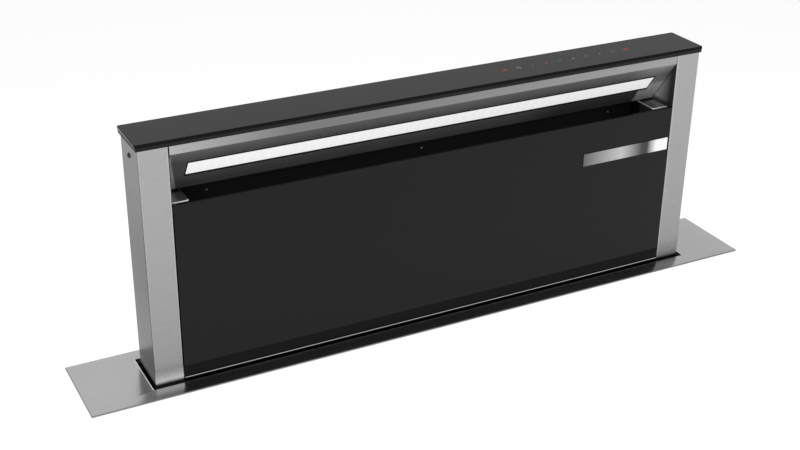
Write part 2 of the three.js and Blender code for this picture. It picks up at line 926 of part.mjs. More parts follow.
/** Involute pinion; a gap between two teeth faces the rack. */
function pinion() {
  const base = pinionRadius * Math.cos(pressureAngle);
  const root = pinionRadius - 1.25 * gearModule;
  const tip = pinionRadius + gearModule;
  const involute = (angle) => Math.tan(angle) - angle;
  const halfAtPitch = Math.PI / (2 * pinionTeeth) - gearBacklash / (2 * pinionRadius);
  const halfAt = (radius) => {
    const angle = Math.acos(Math.min(base / radius, 1));
    return halfAtPitch + involute(pressureAngle) - involute(angle);
  };
  const steps = [0, 1, 2].map((i) => base + ((tip - base) * i) / 2);
  const radii = [root, ...steps];
  const outline = [];
  for (let tooth = 0; tooth < pinionTeeth; tooth++) {
    const middle = Math.PI + ((tooth + 0.5) * 2 * Math.PI) / pinionTeeth;
    const at = (radius, angle) => [
      shaftDepth + radius * Math.cos(angle),
      shaftHeight + radius * Math.sin(angle),
    ];
    radii.forEach((radius) => outline.push(at(radius, middle - halfAt(radius))));
    [...radii].reverse().forEach((radius) => outline.push(at(radius, middle + halfAt(radius))));
  }
  const near = legOuter + 1.5;
  const far = near + pinionWidth;
  const centre = [shaftDepth, shaftHeight];
  return cut(
    joined(
      prism("x", outline, near, far),
      rod("x", centre, pinionHubRadius, near + 1, far + pinionHubLength),
    ),
    rod("x", centre, shaftRadius + pieceGap, near - 1, far + pinionHubLength + 1),
  );
}

const shaftEnd = chassisInside.right - 8;

function liftShaft() {
  return rod("x", [shaftDepth, shaftHeight], shaftRadius, -shaftEnd, shaftEnd);
}

/** Flanged bearing on the end wall with a blind bore for the shaft. */
function shaftBearing() {
  const wall = chassisInside.right;
  const centre = [shaftDepth, shaftHeight];
  const foot = {
    left: shaftDepth - bearingRadius - 4,
    right: shaftDepth + bearingRadius + 4,
    front: shaftHeight - 2 * bearingRadius,
    back: shaftHeight + 2 * bearingRadius,
  };
  return cut(
    joined(
      prism("x", roundedRectangle(foot, 6), wall - 4, wall, 3),
      rod("x", centre, bearingRadius, wall - bearingWidth, wall - 1),
    ),
    rod("x", centre, shaftRadius + pieceGap, wall - bearingWidth - 1, shaftEnd + 1),
  );
}

/** Worm gearbox round the shaft, its motor hanging below, on a plate at the rear wall. */
function liftGearmotor() {
  const top = towerBottom - liftStroke - gearboxRoom;
  const low = shaftHeight - gearboxDrop;
  const half = gearboxWidth / 2;
  const side = {
    left: shaftDepth - gearboxDepth / 2,
    right: shaftDepth + gearboxDepth / 2,
    front: low,
    back: top,
  };
  const across = [gearboxPlace - half, gearboxPlace + half];
  const motorAxis = [gearboxPlace, shaftDepth];
  const motorLow = low - gearMotorLength;
  const plate = { left: across[0] - 14, right: across[1] + 14, front: low - 6, back: top };
  return cut(
    joined(
      prism("x", roundedRectangle(side, 8), ...across, 4),
      rod("z", motorAxis, gearMotorRadius, motorLow, low + 1),
      rod("z", motorAxis, gearMotorRadius - 5, motorLow - 8, motorLow + 1),
      rod("x", [shaftDepth, shaftHeight], 14, across[0] - 4, across[1] + 4),
      prism("y", roundedRectangle(plate, 5), side.right - 1, chassisInside.back, 3),
    ),
    rod("x", [shaftDepth, shaftHeight], shaftRadius + pieceGap, across[0] - 5, across[1] + 5),
  );
}

/** Switch on the end wall that a rack meets at the top of the stroke. */
function limitSwitch() {
  const wall = chassisInside.left;
  const low = rackTop - 46;
  return joined(
    block([wall, wall + 4], [shaftDepth - 18, shaftDepth], [low, low + 40]),
    block([wall + 3, wall + 20], [shaftDepth - 14, shaftDepth - 4], [low + 8, low + 34]),
    block([wall + 19, wall + 23], [shaftDepth - 12, shaftDepth - 7], [low + 24, low + 28]),
  );
}

// ---------------------------------------------------------------- blower

/** Open steel box in front of the housing, with the hole for the outlet collar. */
function blowerBox(collarHeight) {
  const half = blowerWidth / 2;
  const outer = { left: -half, right: half, front: chassisUnderside, back: blowerTop };
  const walls = withHole(corners(outer), shapeOf(corners(inset(outer, blowerSheet))));
  const box = prism("y", walls, blowerFront, blowerBack);
  const hole = rod(
    "x",
    [collarDepth, collarHeight],
    collarRadius - collarWall,
    -half - 1,
    -half + blowerSheet + 1,
    36,
  );
  return cut(box, hole);
}

/** Front cover of the blower with a round pressing that the motor's flange bolts to. */
function blowerCover() {
  const half = blowerWidth / 2;
  const sheet = { left: -half, right: half, front: chassisUnderside, back: blowerTop };
  const centre = [wheelAxis.x, wheelAxis.z];
  const outside = blowerFront - blowerCoverSheet;
  return cut(
    prism("y", roundedRectangle(sheet, 2), outside, blowerFront, 2),
    ...[0, 1, 2, 3, 4].map((i) =>
      block(
        [wheelAxis.x - 30, wheelAxis.x + 30],
        [outside - 1, blowerFront + 1],
        [centre[1] - 17 + i * 8, centre[1] - 15 + i * 8],
      ),
    ),
  );
}

const spiralGrowth = Math.log(scrollEnd / scrollStart) / (2.5 * Math.PI - tongueAngle);
const tongueCentre = {
  x: wheelAxis.x + (scrollStart + tongueRadius) * Math.cos(tongueAngle),
  z: wheelAxis.z + (scrollStart + tongueRadius) * Math.sin(tongueAngle),
};
const tongueTop = {
  x: tongueCentre.x - tongueRadius * Math.sin(ductFall),
  z: tongueCentre.z + tongueRadius * Math.cos(ductFall),
};
const ductLow = tongueTop.z - (tongueTop.x - ductEnd) * Math.tan(ductFall);
const collarHeight = (ductTop + ductLow) / 2;

/** Scroll sheet: duct floor, round tongue, spiral round the wheel, duct roof. */
function voluteScroll() {
  const path = [[ductEnd, ductLow]];
  const tongueSteps = 6;
  const tongueFrom = Math.PI / 2 + ductFall;
  const tongueTo = tongueAngle - Math.PI;
  for (let i = 0; i <= tongueSteps; i++) {
    const angle = tongueFrom + ((tongueTo - tongueFrom) * i) / tongueSteps;
    const x = tongueCentre.x + tongueRadius * Math.cos(angle);
    path.push([x, tongueCentre.z + tongueRadius * Math.sin(angle)]);
  }
  const spiralSteps = 32;
  const sweep = 2.5 * Math.PI - tongueAngle;
  for (let i = 1; i <= spiralSteps; i++) {
    const turn = (sweep * i) / spiralSteps;
    const radius = scrollStart * Math.exp(spiralGrowth * turn);
    const angle = tongueAngle + turn;
    path.push([wheelAxis.x + radius * Math.cos(angle), wheelAxis.z + radius * Math.sin(angle)]);
  }
  path.push([ductEnd, ductTop]);
  const outline = sheetOutline(path, -scrollGauge);
  return prism("y", outline, blowerFront + pieceGap, inletPlate - pieceGap);
}

/** Plate across the box with a bell mouth that reaches into the wheel's eye. */
function inletRing() {
  const half = blowerWidth / 2 - blowerSheet - pieceGap;
  const low = chassisUnderside + blowerSheet + pieceGap;
  const high = blowerTop - blowerSheet - pieceGap;
  const sheet = { left: -half, right: half, front: low, back: high };
  const plate = prism("y", corners(sheet), inletPlate, inletPlate + blowerSheet);
  // The bell's section is an arc about a point outside the throat, drawn twice: once at
  // its outer face for the metal, once at its inner face for the way through.
  const arcEnd = THREE.MathUtils.degToRad(75);
  const arcRadius = inletRadius + inletFlare;
  const outerReach = inletFlare - blowerSheet;
  const throat = inletPlate + blowerSheet / 2 - outerReach * Math.sin(arcEnd);
  const arc = (reach) =>
    [0, 1, 2, 3, 4].map((i) => {
      const angle = (arcEnd * i) / 4;
      return [arcRadius - reach * Math.cos(angle), throat + reach * Math.sin(angle)];
    });
  const metal = arc(outerReach);
  const way = arc(inletFlare);
  const beyond = inletPlate + 4 * blowerSheet;
  const bell = turned([[0, throat], ...metal, [0, metal[4][1]]], 30);
  const opening = turned(
    [[0, throat - 1], [inletRadius, throat - 1], ...way, [way[4][0], beyond], [0, beyond]],
    30,
  );
  const centred = (geometry) => geometry.translate(wheelAxis.x, 0, wheelAxis.z);
  return cut(joined(plate, centred(bell)), centred(opening));
}

/** Forward-curved wheel: disc with a cup for the motor, blades, and the shroud ring. */
function impeller() {
  const discBack = wheelFront + wheelDiscThickness;
  const cupBack = wheelFront + wheelCupDepth;
  const cupOuter = wheelCupRadius + wheelCupWall;
  const bore = motorShaftRadius + pieceGap;
  const hub = turned(
    [
      [wheelRadius, wheelFront],
      [wheelRadius, discBack],
      [cupOuter, discBack],
      [cupOuter, cupBack],
      [bore, cupBack],
      [bore, cupBack - wheelCupWall],
      [wheelCupRadius, cupBack - wheelCupWall],
      [wheelCupRadius, wheelFront],
      [wheelRadius, wheelFront],
    ],
    bladeCount,
  );
  const shroud = turned(
    [
      [wheelEyeRadius, wheelRear - shroudThickness],
      [wheelRadius, wheelRear - shroudThickness],
      [wheelRadius, wheelRear],
      [wheelEyeRadius, wheelRear],
      [wheelEyeRadius, wheelRear - shroudThickness],
    ],
    bladeCount,
  );
  const steps = [0, 1, 2];
  const station = (i, side) => {
    const share = i / 2;
    const radius = wheelEyeRadius + 1 + (wheelRadius - wheelEyeRadius - 2.5) * share;
    const angle = bladeSweep * share * share + (side * bladeThickness) / (2 * radius);
    return [radius * Math.cos(angle), radius * Math.sin(angle)];
  };
  const outline = [...steps.map((i) => station(i, -1)), ...steps.reverse().map((i) => station(i, 1))];
  const blade = prism("y", outline, wheelFront + 1, wheelRear - 1);
  const blades = [];
  for (let i = 0; i < bladeCount; i++) {
    blades.push(blade.clone().rotateY((2 * Math.PI * i) / bladeCount));
  }
  return joined(hub, shroud, ...blades).translate(wheelAxis.x, 0, wheelAxis.z);
}

/** External-rotor motor on the cover, with the shaft that carries the wheel. */
function blowerMotor() {
  const rotorBack = blowerFront + motorLength;
  const shaftBack = wheelFront + wheelCupDepth + 6;
  return turned([
    [0, blowerFront],
    [motorFlangeRadius, blowerFront],
    [motorFlangeRadius, blowerFront + 3],
    [motorRadius - 6, blowerFront + 6],
    [motorRadius, blowerFront + 14],
    [motorRadius, rotorBack - 5],
    [motorRadius - 5, rotorBack],
    [motorShaftRadius, rotorBack],
    [motorShaftRadius, shaftBack],
    [0, shaftBack],
  ]).translate(wheelAxis.x, 0, wheelAxis.z);
}

const collarFace = -blowerWidth / 2;
const damperPlace = collarFace - damperInset;

/** Round duct collar on a square flange, with the damper pin across it. */
function outletCollar() {
  const centre = [collarDepth, collarHeight];
  const half = collarRadius + collarFlangeMargin;
  const flange = {
    left: collarDepth - half,
    right: collarDepth + half,
    front: collarHeight - half,
    back: collarHeight + half,
  };
  const bore = collarRadius - collarWall;
  return joined(
    cut(
      joined(
        prism("x", roundedRectangle(flange, 8), collarFace - 1.5, collarFace, 3),
        rod("x", centre, collarRadius, collarFace - collarLength, collarFace, 36),
      ),
      rod("x", centre, bore, collarFace - collarLength - 1, collarFace + 1, 36),
    ),
    rod(
      "z",
      [damperPlace, collarDepth],
      damperPinRadius,
      collarHeight - bore - 0.5,
      collarHeight + bore + 0.5,
      12,
    ),
  );
}

/** Half-round flap behind the pin on knuckles; the other flap's knuckles lie between. */
function damperFlap(direction, knuckleCentres) {
  const rim = collarRadius - collarWall - damperRimGap;
  const knuckle = damperPinRadius + pieceGap + damperKnuckleWall;
  const edge = knuckle + 0.8;
  const shape = new THREE.Shape();
  const start = Math.acos(edge / rim);
  const segments = 16;
  for (let i = 0; i <= segments; i++) {
    const angle = -start + (2 * start * i) / segments;
    const y = collarDepth + direction * rim * Math.cos(angle);
    const z = collarHeight + rim * Math.sin(angle);
    if (i === 0) shape.moveTo(y, z);
    else shape.lineTo(y, z);
  }
  shape.closePath();
  const half = damperThickness / 2;
  const across = [damperPlace - half, damperPlace + half];
  const knuckles = knuckleCentres.flatMap((offset) => {
    const span = [collarHeight + offset - 9, collarHeight + offset + 9];
    const tongue = [collarDepth, collarDepth + direction * (edge + 1)].sort((a, b) => a - b);
    return [
      rod("z", [damperPlace, collarDepth], knuckle, ...span, 16),
      block(across, tongue, span),
    ];
  });
  const bore = rod(
    "z",
    [damperPlace, collarDepth],
    damperPinRadius + pieceGap,
    collarHeight - rim,
    collarHeight + rim,
    16,
  );
  return cut(joined(prism("x", shape, ...across), ...knuckles), bore);
}

// ---------------------------------------------------------------- electronics and feet

// The box stands in the middle of the room beside the blower, level with its top.
const electronicsMiddle = (blowerWidth / 2 + chassisPlan.right) / 2;
const electronicsRight = electronicsMiddle + electronicsWidth / 2;
const electronicsBottom = blowerTop - electronicsHeight;

function electronicsBox() {
  const body = {
    left: electronicsRight - electronicsWidth,
    right: electronicsRight,
    front: electronicsBottom,
    back: blowerTop,
  };
  const front = chassisPlan.front - electronicsDepth;
  return joined(
    prism("y", roundedRectangle(inset(body, 2), 5), front + electronicsLid - 1, chassisPlan.front, 3),
    prism("y", roundedRectangle(body, 6), front, front + electronicsLid, 3),
  );
}

function powerInlet() {
  const place = [electronicsRight - 30, chassisPlan.front - electronicsDepth / 2];
  const top = electronicsBottom + 2;
  return joined(
    rod("z", place, glandRadius, top - glandLength, top, 16),
    rod("z", place, glandRadius + 3, top - 6, top, 6),
  );
}

const footRailSpan = [blowerFront + 3, chassisPlan.back - 3];

function footRail() {
  const half = footRailWidth / 2;
  const path = [
    [footRailPlace - half, chassisUnderside - footRailHeight],
    [footRailPlace - half, chassisUnderside],
    [footRailPlace + half, chassisUnderside],
    [footRailPlace + half, chassisUnderside - footRailHeight],
  ];
  const outline = sheetOutline([...path].reverse(), footRailSheet);
  return prism("y", outline, ...footRailSpan);
}

/** Levelling foot: round pad with a stem and nut up to the rail's web. */
function levellingFoot(depth) {
  const sole = chassisUnderside - footHeight;
  const top = chassisUnderside - footRailSheet - pieceGap;
  const nut = chassisUnderside - footRailHeight + 3;
  const profile = [
    [0, sole],
    [footPadRadius, sole],
    [footPadRadius, sole + footPadThickness - 2],
    [footPadRadius - 3, sole + footPadThickness],
    [footStemRadius, sole + footPadThickness + 1],
    [footStemRadius, nut],
    [footStemRadius + 4, nut],
    [footStemRadius + 4, nut + 5],
    [footStemRadius, nut + 5],
    [footStemRadius, top],
    [0, top],
  ];
  return turned(profile, 14).rotateX(Math.PI / 2).translate(footRailPlace, depth, 0);
}

// ---------------------------------------------------------------- the whole unit

add("counter_plate", counterPlate(), brushedSteel);
add("counter_gasket", counterGasket(), blackRubber);
add("neck_frame", neckFrame(), galvanised);
add("wiper_seal", wiperSeal(), blackRubber);
add("chassis_shell", chassisShell(), galvanised);
add("chassis_front", chassisFront(), galvanised);
add("chassis_floor", chassisFloor(), galvanised);
addPair("guide_rail", guideRail(), plainSteel);
addPair("counter_clamp", counterClamp(), plainSteel);
addPair("shaft_bearing", shaftBearing(), blackPlastic);
add("lift_gearmotor", liftGearmotor(), blackPaint);
add("limit_switch", limitSwitch(), blackPlastic);
add("lift_shaft", liftShaft(), plainSteel);
addPair("pinion", pinion(), plainSteel);

add("blower_box", blowerBox(collarHeight), galvanised);
add("blower_cover", blowerCover(), galvanised);
add("volute_scroll", voluteScroll(), galvanised);
add("inlet_ring", inletRing(), galvanised);
add("impeller", impeller(), blackPlastic);
add("blower_motor", blowerMotor(), aluminium);
add("outlet_collar", outletCollar(), blackPlastic);
add("damper_front", damperFlap(-1, [-40, 20]), blackPlastic);
add("damper_rear", damperFlap(1, [-20, 40]), blackPlastic);

add("electronics_box", electronicsBox(), galvanised);
add("power_inlet", powerInlet(), blackPlastic);
addPair("foot_rail", footRail(), galvanised);
addPair("foot_front", levellingFoot(footRailSpan[0] + footInset), blackPlastic);
addPair("foot_rear", levellingFoot(footRailSpan[1] - footInset), blackPlastic);

addPair("column", column(), brushedSteel);
addPair("leg", leg(), galvanised);
addPair("rack", rack(), plainSteel);
addPair("runner", runner(), whitePlastic);
add("rear_panel", rearPanel(keeperSlots(), keeperLow), brushedSteel);
add("light_trough", lightTrough(), polishedSteel);
addPair("end_shelf", endShelf(), polishedSteel);
add("drip_gutter", dripGutter(), polishedSteel);
add("cap_tray", capTray(), blackPaint);
add("cap_glass", capGlass(), blackGlass);
add("touch_board", touchBoard(), circuitBoard);
addPair("filter", filter(), polishedSteel, filterRack);
addPair("filter_latch", filterLatch(), blackPlastic, filterRack);

const lightGroup = new THREE.Group();
lightGroup.applyMatrix4(slopePlace());
unit.add(lightGroup);
add("light_diffuser", lightDiffuser(), opalLight, lightGroup);
add("led_carrier", ledCarrier(), aluminium, lightGroup);

add("panel_glass", panelGlassSheet(), blackGlass);
add("panel_carrier", panelCarrier(), polishedSteel);
add("badge_strip", badgeStrip(), brushedSteel);

const coverFace = blowerFront - blowerCoverSheet;
unit.position.y = -(coverFace + platePlan.back) / 2;
unit.position.z = footHeight - chassisUnderside;

const downdraftVent = new THREE.Group();
downdraftVent.name = "downdraft_vent";
downdraftVent.add(unit);

export default downdraftVent;
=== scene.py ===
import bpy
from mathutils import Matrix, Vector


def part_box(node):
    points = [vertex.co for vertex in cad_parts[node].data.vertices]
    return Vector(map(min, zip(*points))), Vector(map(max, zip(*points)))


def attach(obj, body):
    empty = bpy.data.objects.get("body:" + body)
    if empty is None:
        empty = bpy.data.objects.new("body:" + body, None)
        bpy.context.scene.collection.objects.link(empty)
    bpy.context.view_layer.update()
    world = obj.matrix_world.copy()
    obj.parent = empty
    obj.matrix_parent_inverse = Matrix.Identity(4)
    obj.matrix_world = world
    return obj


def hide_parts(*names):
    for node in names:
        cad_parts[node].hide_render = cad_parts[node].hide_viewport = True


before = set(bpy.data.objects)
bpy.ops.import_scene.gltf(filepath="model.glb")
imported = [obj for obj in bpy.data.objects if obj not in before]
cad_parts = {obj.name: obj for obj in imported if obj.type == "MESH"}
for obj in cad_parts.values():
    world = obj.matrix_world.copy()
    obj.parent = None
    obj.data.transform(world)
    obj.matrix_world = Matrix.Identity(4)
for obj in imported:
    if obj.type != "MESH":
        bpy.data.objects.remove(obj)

"""Downdraft vent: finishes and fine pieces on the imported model, with its stage and camera.

Everything is in metres in the row frame: x across the tower, +y to the back, +z up, with
the levelling feet on z = 0.
"""

import logging
import math
from dataclasses import dataclass
from enum import Enum
from itertools import product
from typing import Any, Iterable, Sequence

import bpy
import numpy as np
from mathutils import Matrix, Vector

LOG = logging.getLogger("downdraft_vent")
MM = 0.001


# ------------------------------------------------------------------ shader tools


class Wave:
    """A number that varies over a surface: one output socket with Python's operators."""

    def __init__(self, board: "Board", socket: bpy.types.NodeSocket) -> None:
        """Keeps the board that new Math nodes go on and the socket that holds the number."""
        self.board = board
        self.socket = socket

    def _math(self, operation: str, *terms: "Wave | float", clamp: bool = False) -> "Wave":
        """Adds one Math node on the terms."""
        settings = {"operation": operation, "use_clamp": clamp}
        return self.board.node("ShaderNodeMath", settings, dict(enumerate(terms)))

    def __add__(self, other: "Wave | float") -> "Wave":
        """Sum."""
        return self._math("ADD", self, other)

    def __sub__(self, other: "Wave | float") -> "Wave":
        """Difference."""
        return self._math("SUBTRACT", self, other)

    def __rsub__(self, other: float) -> "Wave":
        """A number less this one."""
        return self._math("SUBTRACT", other, self)

    def __mul__(self, other: "Wave | float") -> "Wave":
        """Product."""
        return self._math("MULTIPLY", self, other)

    def __truediv__(self, other: "Wave | float") -> "Wave":
        """Quotient."""
        return self._math("DIVIDE", self, other)

    __radd__ = __add__
    __rmul__ = __mul__

    def size(self) -> "Wave":
        """This number without its sign."""
        return self._math("ABSOLUTE", self)

    def clamped(self) -> "Wave":
        """This number held between 0 and 1."""
        return self._math("ADD", self, 0.0, clamp=True)

    def within(self, low: float, high: float) -> "Wave":
        """This number's span of low to high, stretched to 0 to 1 and held there."""
        return ((self - low) / (high - low)).clamped()


class Board:
    """The node tree of one material or world."""

    # Numbers of a Mix node's colour sockets, whose names its number sockets have too.
    COLOUR_A, COLOUR_B, COLOUR_OUT = 6, 7, 2

    def __init__(self, owner: bpy.types.Material | bpy.types.World) -> None:
        """Clears the owner's tree and adds its output node.

        Args:
            owner: what the tree belongs to.
        """
        owner.use_nodes = True
        self.tree = owner.node_tree
        self.tree.nodes.clear()
        is_world = isinstance(owner, bpy.types.World)
        kind = "ShaderNodeOutputWorld" if is_world else "ShaderNodeOutputMaterial"
        self.output = self.tree.nodes.new(kind)

    def node(
        self,
        kind: str,
        settings: dict[str, Any] | None = None,
        inputs: dict[str | int, Any] | None = None,
        output: str | int = 0,
    ) -> Wave:
        """Adds a node: its settings first, then the values or links of its sockets.

        Args:
            kind: the node's type.
            settings: attributes of the node.
            inputs: socket name or number, with a value or a Wave to link.
            output: the socket that the result reads.

        Returns:
            The chosen output.
        """
        made = self.tree.nodes.new(kind)
        for name, value in (settings or {}).items():
            setattr(made, name, value)
        for name, value in (inputs or {}).items():
            if isinstance(value, Wave):
                self.tree.links.new(value.socket, made.inputs[name])
            else:
                made.inputs[name].default_value = value
        return Wave(self, made.outputs[output])

    def place(self) -> Wave:
        """Object coordinates, in metres."""
        return self.node("ShaderNodeTexCoord", output="Object")

    def along(self, axis: str) -> Wave:
        """One of the object coordinates, X, Y or Z."""
        return self.node("ShaderNodeSeparateXYZ", None, {"Vector": self.place()}, axis)

    def reach(self, direction: Sequence[float]) -> Wave:
        """How far a point lies along a direction: the dot product of the two."""
        inputs = {0: self.place(), 1: tuple(direction)}
        return self.node("ShaderNodeVectorMath", {"operation": "DOT_PRODUCT"}, inputs, "Value")

    def stretched(self, scale: Sequence[float] | float) -> Wave:
        """Object coordinates in pattern cells per metre, for all axes or for each."""
        each = (scale,) * 3 if isinstance(scale, (int, float)) else scale
        return self.node("ShaderNodeMapping", None, {"Vector": self.place(), "Scale": each})

    def noise(self, scale: Sequence[float] | float, detail: float = 2.0) -> Wave:
        """Cloudy noise from 0 to 1: its cells per metre, and the octaves of finer noise."""
        inputs = {"Vector": self.stretched(scale), "Scale": 1.0, "Detail": detail}
        return self.node("ShaderNodeTexNoise", None, inputs)

    def cells(self, scale: float) -> Wave:
        """A random grey for each cell of a Voronoi pattern.

        Args:
            scale: cells per metre.

        Returns:
            The cell's grey.
        """
        inputs = {"Vector": self.stretched(scale), "Scale": 1.0}
        colour = self.node("ShaderNodeTexVoronoi", None, inputs, "Color")
        return self.node("ShaderNodeSeparateColor", None, {"Color": colour}, "Red")

    def between(self, low: Sequence[float], high: Sequence[float], share: Wave) -> Wave:
        """A colour between two others.

        Args:
            low: colour where the share is 0.
            high: colour where the share is 1.
            share: the mix.

        Returns:
            The mixed colour.
        """
        inputs = {"Factor": share, self.COLOUR_A: (*low, 1.0), self.COLOUR_B: (*high, 1.0)}
        settings = {"data_type": "RGBA", "clamp_factor": True}
        return self.node("ShaderNodeMix", settings, inputs, self.COLOUR_OUT)

    def bump(self, height: Wave, depth: float, strength: float) -> Wave:
        """A normal tilted by a 0 to 1 pattern that is depth metres deep, by a share of it."""
        inputs = {"Strength": strength, "Distance": depth, "Height": height}
        return self.node("ShaderNodeBump", None, inputs)

    def finish(self, shader: Wave) -> None:
        """Links the finished shader to the output."""
        self.tree.links.new(shader.socket, self.output.inputs["Surface"])


def tinted(colour: Sequence[float], by: float) -> tuple[float, ...]:
    """A colour made lighter or darker by a factor."""
    return tuple(min(part * by, 1.0) for part in colour)


def grey(level: float) -> tuple[float, float, float]:
    """A colour with as much red as green and blue."""
    return (level, level, level)


# ------------------------------------------------------------------ finishes


@dataclass(frozen=True)
class Finish:
    """One finish of the object: a base class for those below."""

    name: str
    slot: str
    colour: tuple[float, float, float]
    roughness: float

    def paint(self, board: Board) -> dict[str, Any]:
        """The Principled shader's inputs; each finish gives its own."""
        raise NotImplementedError

    def shade(self, board: Board, low: float, high: float, share: Wave) -> Wave:
        """The colour times low where the share is 0, and times high where it is 1."""
        return board.between(tinted(self.colour, low), tinted(self.colour, high), share)

    def material(self) -> bpy.types.Material:
        """Makes the material, or finds it if it is there.

        Returns:
            The finish as a Blender material.
        """
        full_name = f"{self.name}_finish"
        known = bpy.data.materials.get(full_name)
        if known is not None:
            return known
        made = bpy.data.materials.new(full_name)
        board = Board(made)
        board.finish(board.node("ShaderNodeBsdfPrincipled", None, self.paint(board)))
        made.diffuse_color = (*self.colour, 1.0)
        return made


class Grain(Enum):
    """The way that the brush went over a sheet: cells per metre along x, y and z."""

    ACROSS = (5.0, 1500.0, 1500.0)
    SHORT = (60.0, 60.0, 1300.0)


@dataclass(frozen=True)
class Fade:
    """A slow change of tone along one axis, or out to both sides of the middle."""

    axis: str
    start: float
    end: float
    low: float
    high: float
    both_sides: bool = False
    lean: float = 0.0

    def factor(self, board: Board) -> Wave:
        """The tone's factor: low up to the start, high from the end on.

        A lean shifts both by that much for each metre of height.

        Args:
            board: the material that it is for.

        Returns:
            The factor.
        """
        place = board.along(self.axis)
        place = place.size() if self.both_sides else place
        place = place + board.along("Z") * self.lean if self.lean else place
        return place.within(self.start, self.end) * (self.high - self.low) + self.low


ACROSS = (1.0, 0.0, 0.0)
BACK = (0.0, 1.0, 0.0)
UP = (0.0, 0.0, 1.0)


@dataclass(frozen=True)
class Patch:
    """A patch of painted light or shade, lighter or darker, where all its ramps overlap."""

    gain: float
    ramps: tuple[tuple[Sequence[float], float, float], ...]

    def factor(self, board: Board) -> Wave:
        """The tone's factor: the gain where every ramp has reached its end.

        A ramp is a direction with the reach along it where it is 0 and where it is 1.

        Args:
            board: the material that it is for.

        Returns:
            The factor, 1 outside the patch.
        """
        shares = [board.reach(way).within(start, end) for way, start, end in self.ramps]
        share = shares[0]
        for other in shares[1:]:
            share = share * other
        return share * (self.gain - 1.0) + 1.0


@dataclass(frozen=True)
class BrushedSteel(Finish):
    """Stainless sheet: long fine streaks in colour, roughness and relief, faint smudges."""

    grain: Grain = Grain.ACROSS
    streak: float = 0.1
    relief: float = 0.12
    painted_light: tuple[Fade | Patch, ...] = ()
    metal: float = 1.0
    matt: Fade | Patch | None = None

    def paint(self, board: Board) -> dict[str, Any]:
        """Streaks are noise drawn out along the grain; smudges are broad clouds.

        The fades and patches paint reflections, highlights and shade by multiplying the tone, and
        matt turns part of the metal to paint.

        Args:
            board: the material that it is for.

        Returns:
            The shader's inputs.
        """
        streaks = board.noise(self.grain.value, 3.0)
        smudge = board.noise(9.0, 3.0)
        tone = (streaks * 0.8 + smudge * 0.2).within(0.25, 0.75)
        level = tone * (2 * self.streak) + (1 - self.streak)
        peak = max(self.colour)
        # painted reflections, highlights and shade multiply the tone
        for fade in self.painted_light:
            level = level * fade.factor(board)
        return {
            "Base Color": board.between((0, 0, 0), tinted(self.colour, 1 / peak), level * peak),
            "Metallic": self.matt.factor(board) * self.metal if self.matt else self.metal,
            "Roughness": streaks * 0.14 + smudge * 0.08 + (self.roughness - 0.11),
            "Normal": board.bump(streaks, 0.05 * MM, self.relief),
        }


@dataclass(frozen=True)
class PolishedSteel(Finish):
    """Mirror-like stainless with soft waves in the gloss and a few hairlines."""

    def paint(self, board: Board) -> dict[str, Any]:
        """Hairlines are the crests of a stretched noise; clouds dull the gloss.

        Args:
            board: the material that it is for.

        Returns:
            The shader's inputs.
        """
        clouds = board.noise(14.0, 3.0)
        hairs = board.noise((30.0, 900.0, 900.0), 1.0).within(0.62, 0.75)
        return {
            "Base Color": self.shade(board, 0.95, 1.04, clouds),
            "Metallic": 1.0,
            "Roughness": clouds * 0.08 + hairs * 0.1 + (self.roughness - 0.04),
            "Normal": board.bump(clouds, 0.2 * MM, 0.06),
        }


@dataclass(frozen=True)
class BlackGlass(Finish):
    """Back-printed glass: deep black under a clear face with hardly any wipe marks.

    Its gloss is a plain specular level, or a thin coat whose weight fades along the glass.
    """

    specular: float = 0.17
    gloss: Fade | None = None
    gloss_ior: float = 1.18

    def paint(self, board: Board) -> dict[str, Any]:
        """Wipe marks are slanting stretched noise in the gloss; dust specks are paler.

        Args:
            board: the material that it is for.

        Returns:
            The shader's inputs.
        """
        wipe = board.noise((6.0, 20.0, 3.0), 2.0).within(0.45, 0.8)
        dust = board.noise(1800.0, 0.0).within(0.72, 0.8)
        inputs = {
            "Base Color": self.shade(board, 1.0, 1.8, dust),
            "Roughness": wipe * 0.03 + dust * 0.1 + self.roughness,
            "Specular IOR Level": self.specular,
        }
        if self.gloss:
            inputs["Coat Weight"] = self.gloss.factor(board)
            inputs["Coat Roughness"] = self.roughness
            inputs["Coat IOR"] = self.gloss_ior
        return inputs


WAVE_TURN = 20.0  # radians that a Wave Texture runs through per unit of its scale


@dataclass(frozen=True)
class OpalLight(Finish):
    """Lit opal plastic with a soft line of lamps behind it."""

    glow: float = 0.8
    pitch: float = 0.0125
    run: Fade = Fade("X", -0.32, 0.32, 1.0, 0.86)

    def paint(self, board: Board) -> dict[str, Any]:
        """The glow swells at each lamp's place along x and falls off to one end.

        Args:
            board: the material that it is for.

        Returns:
            The shader's inputs.
        """
        turn = 2 * math.pi / self.pitch
        settings = {"wave_type": "BANDS", "bands_direction": "X"}
        inputs = {"Vector": board.place(), "Scale": turn / WAVE_TURN, "Distortion": 0.0}
        lamps = board.node("ShaderNodeTexWave", settings, inputs, "Fac")
        level = (lamps * 0.03 + 0.97) * self.run.factor(board)
        full = tinted(self.colour, self.glow)
        return {
            "Base Color": (0.12, 0.12, 0.12, 1.0),
            "Roughness": board.noise(400.0, 2.0) * 0.1 + (self.roughness - 0.05),
            "Emission Color": board.between((0, 0, 0), full, level),
            "Emission Strength": 1.0,
        }


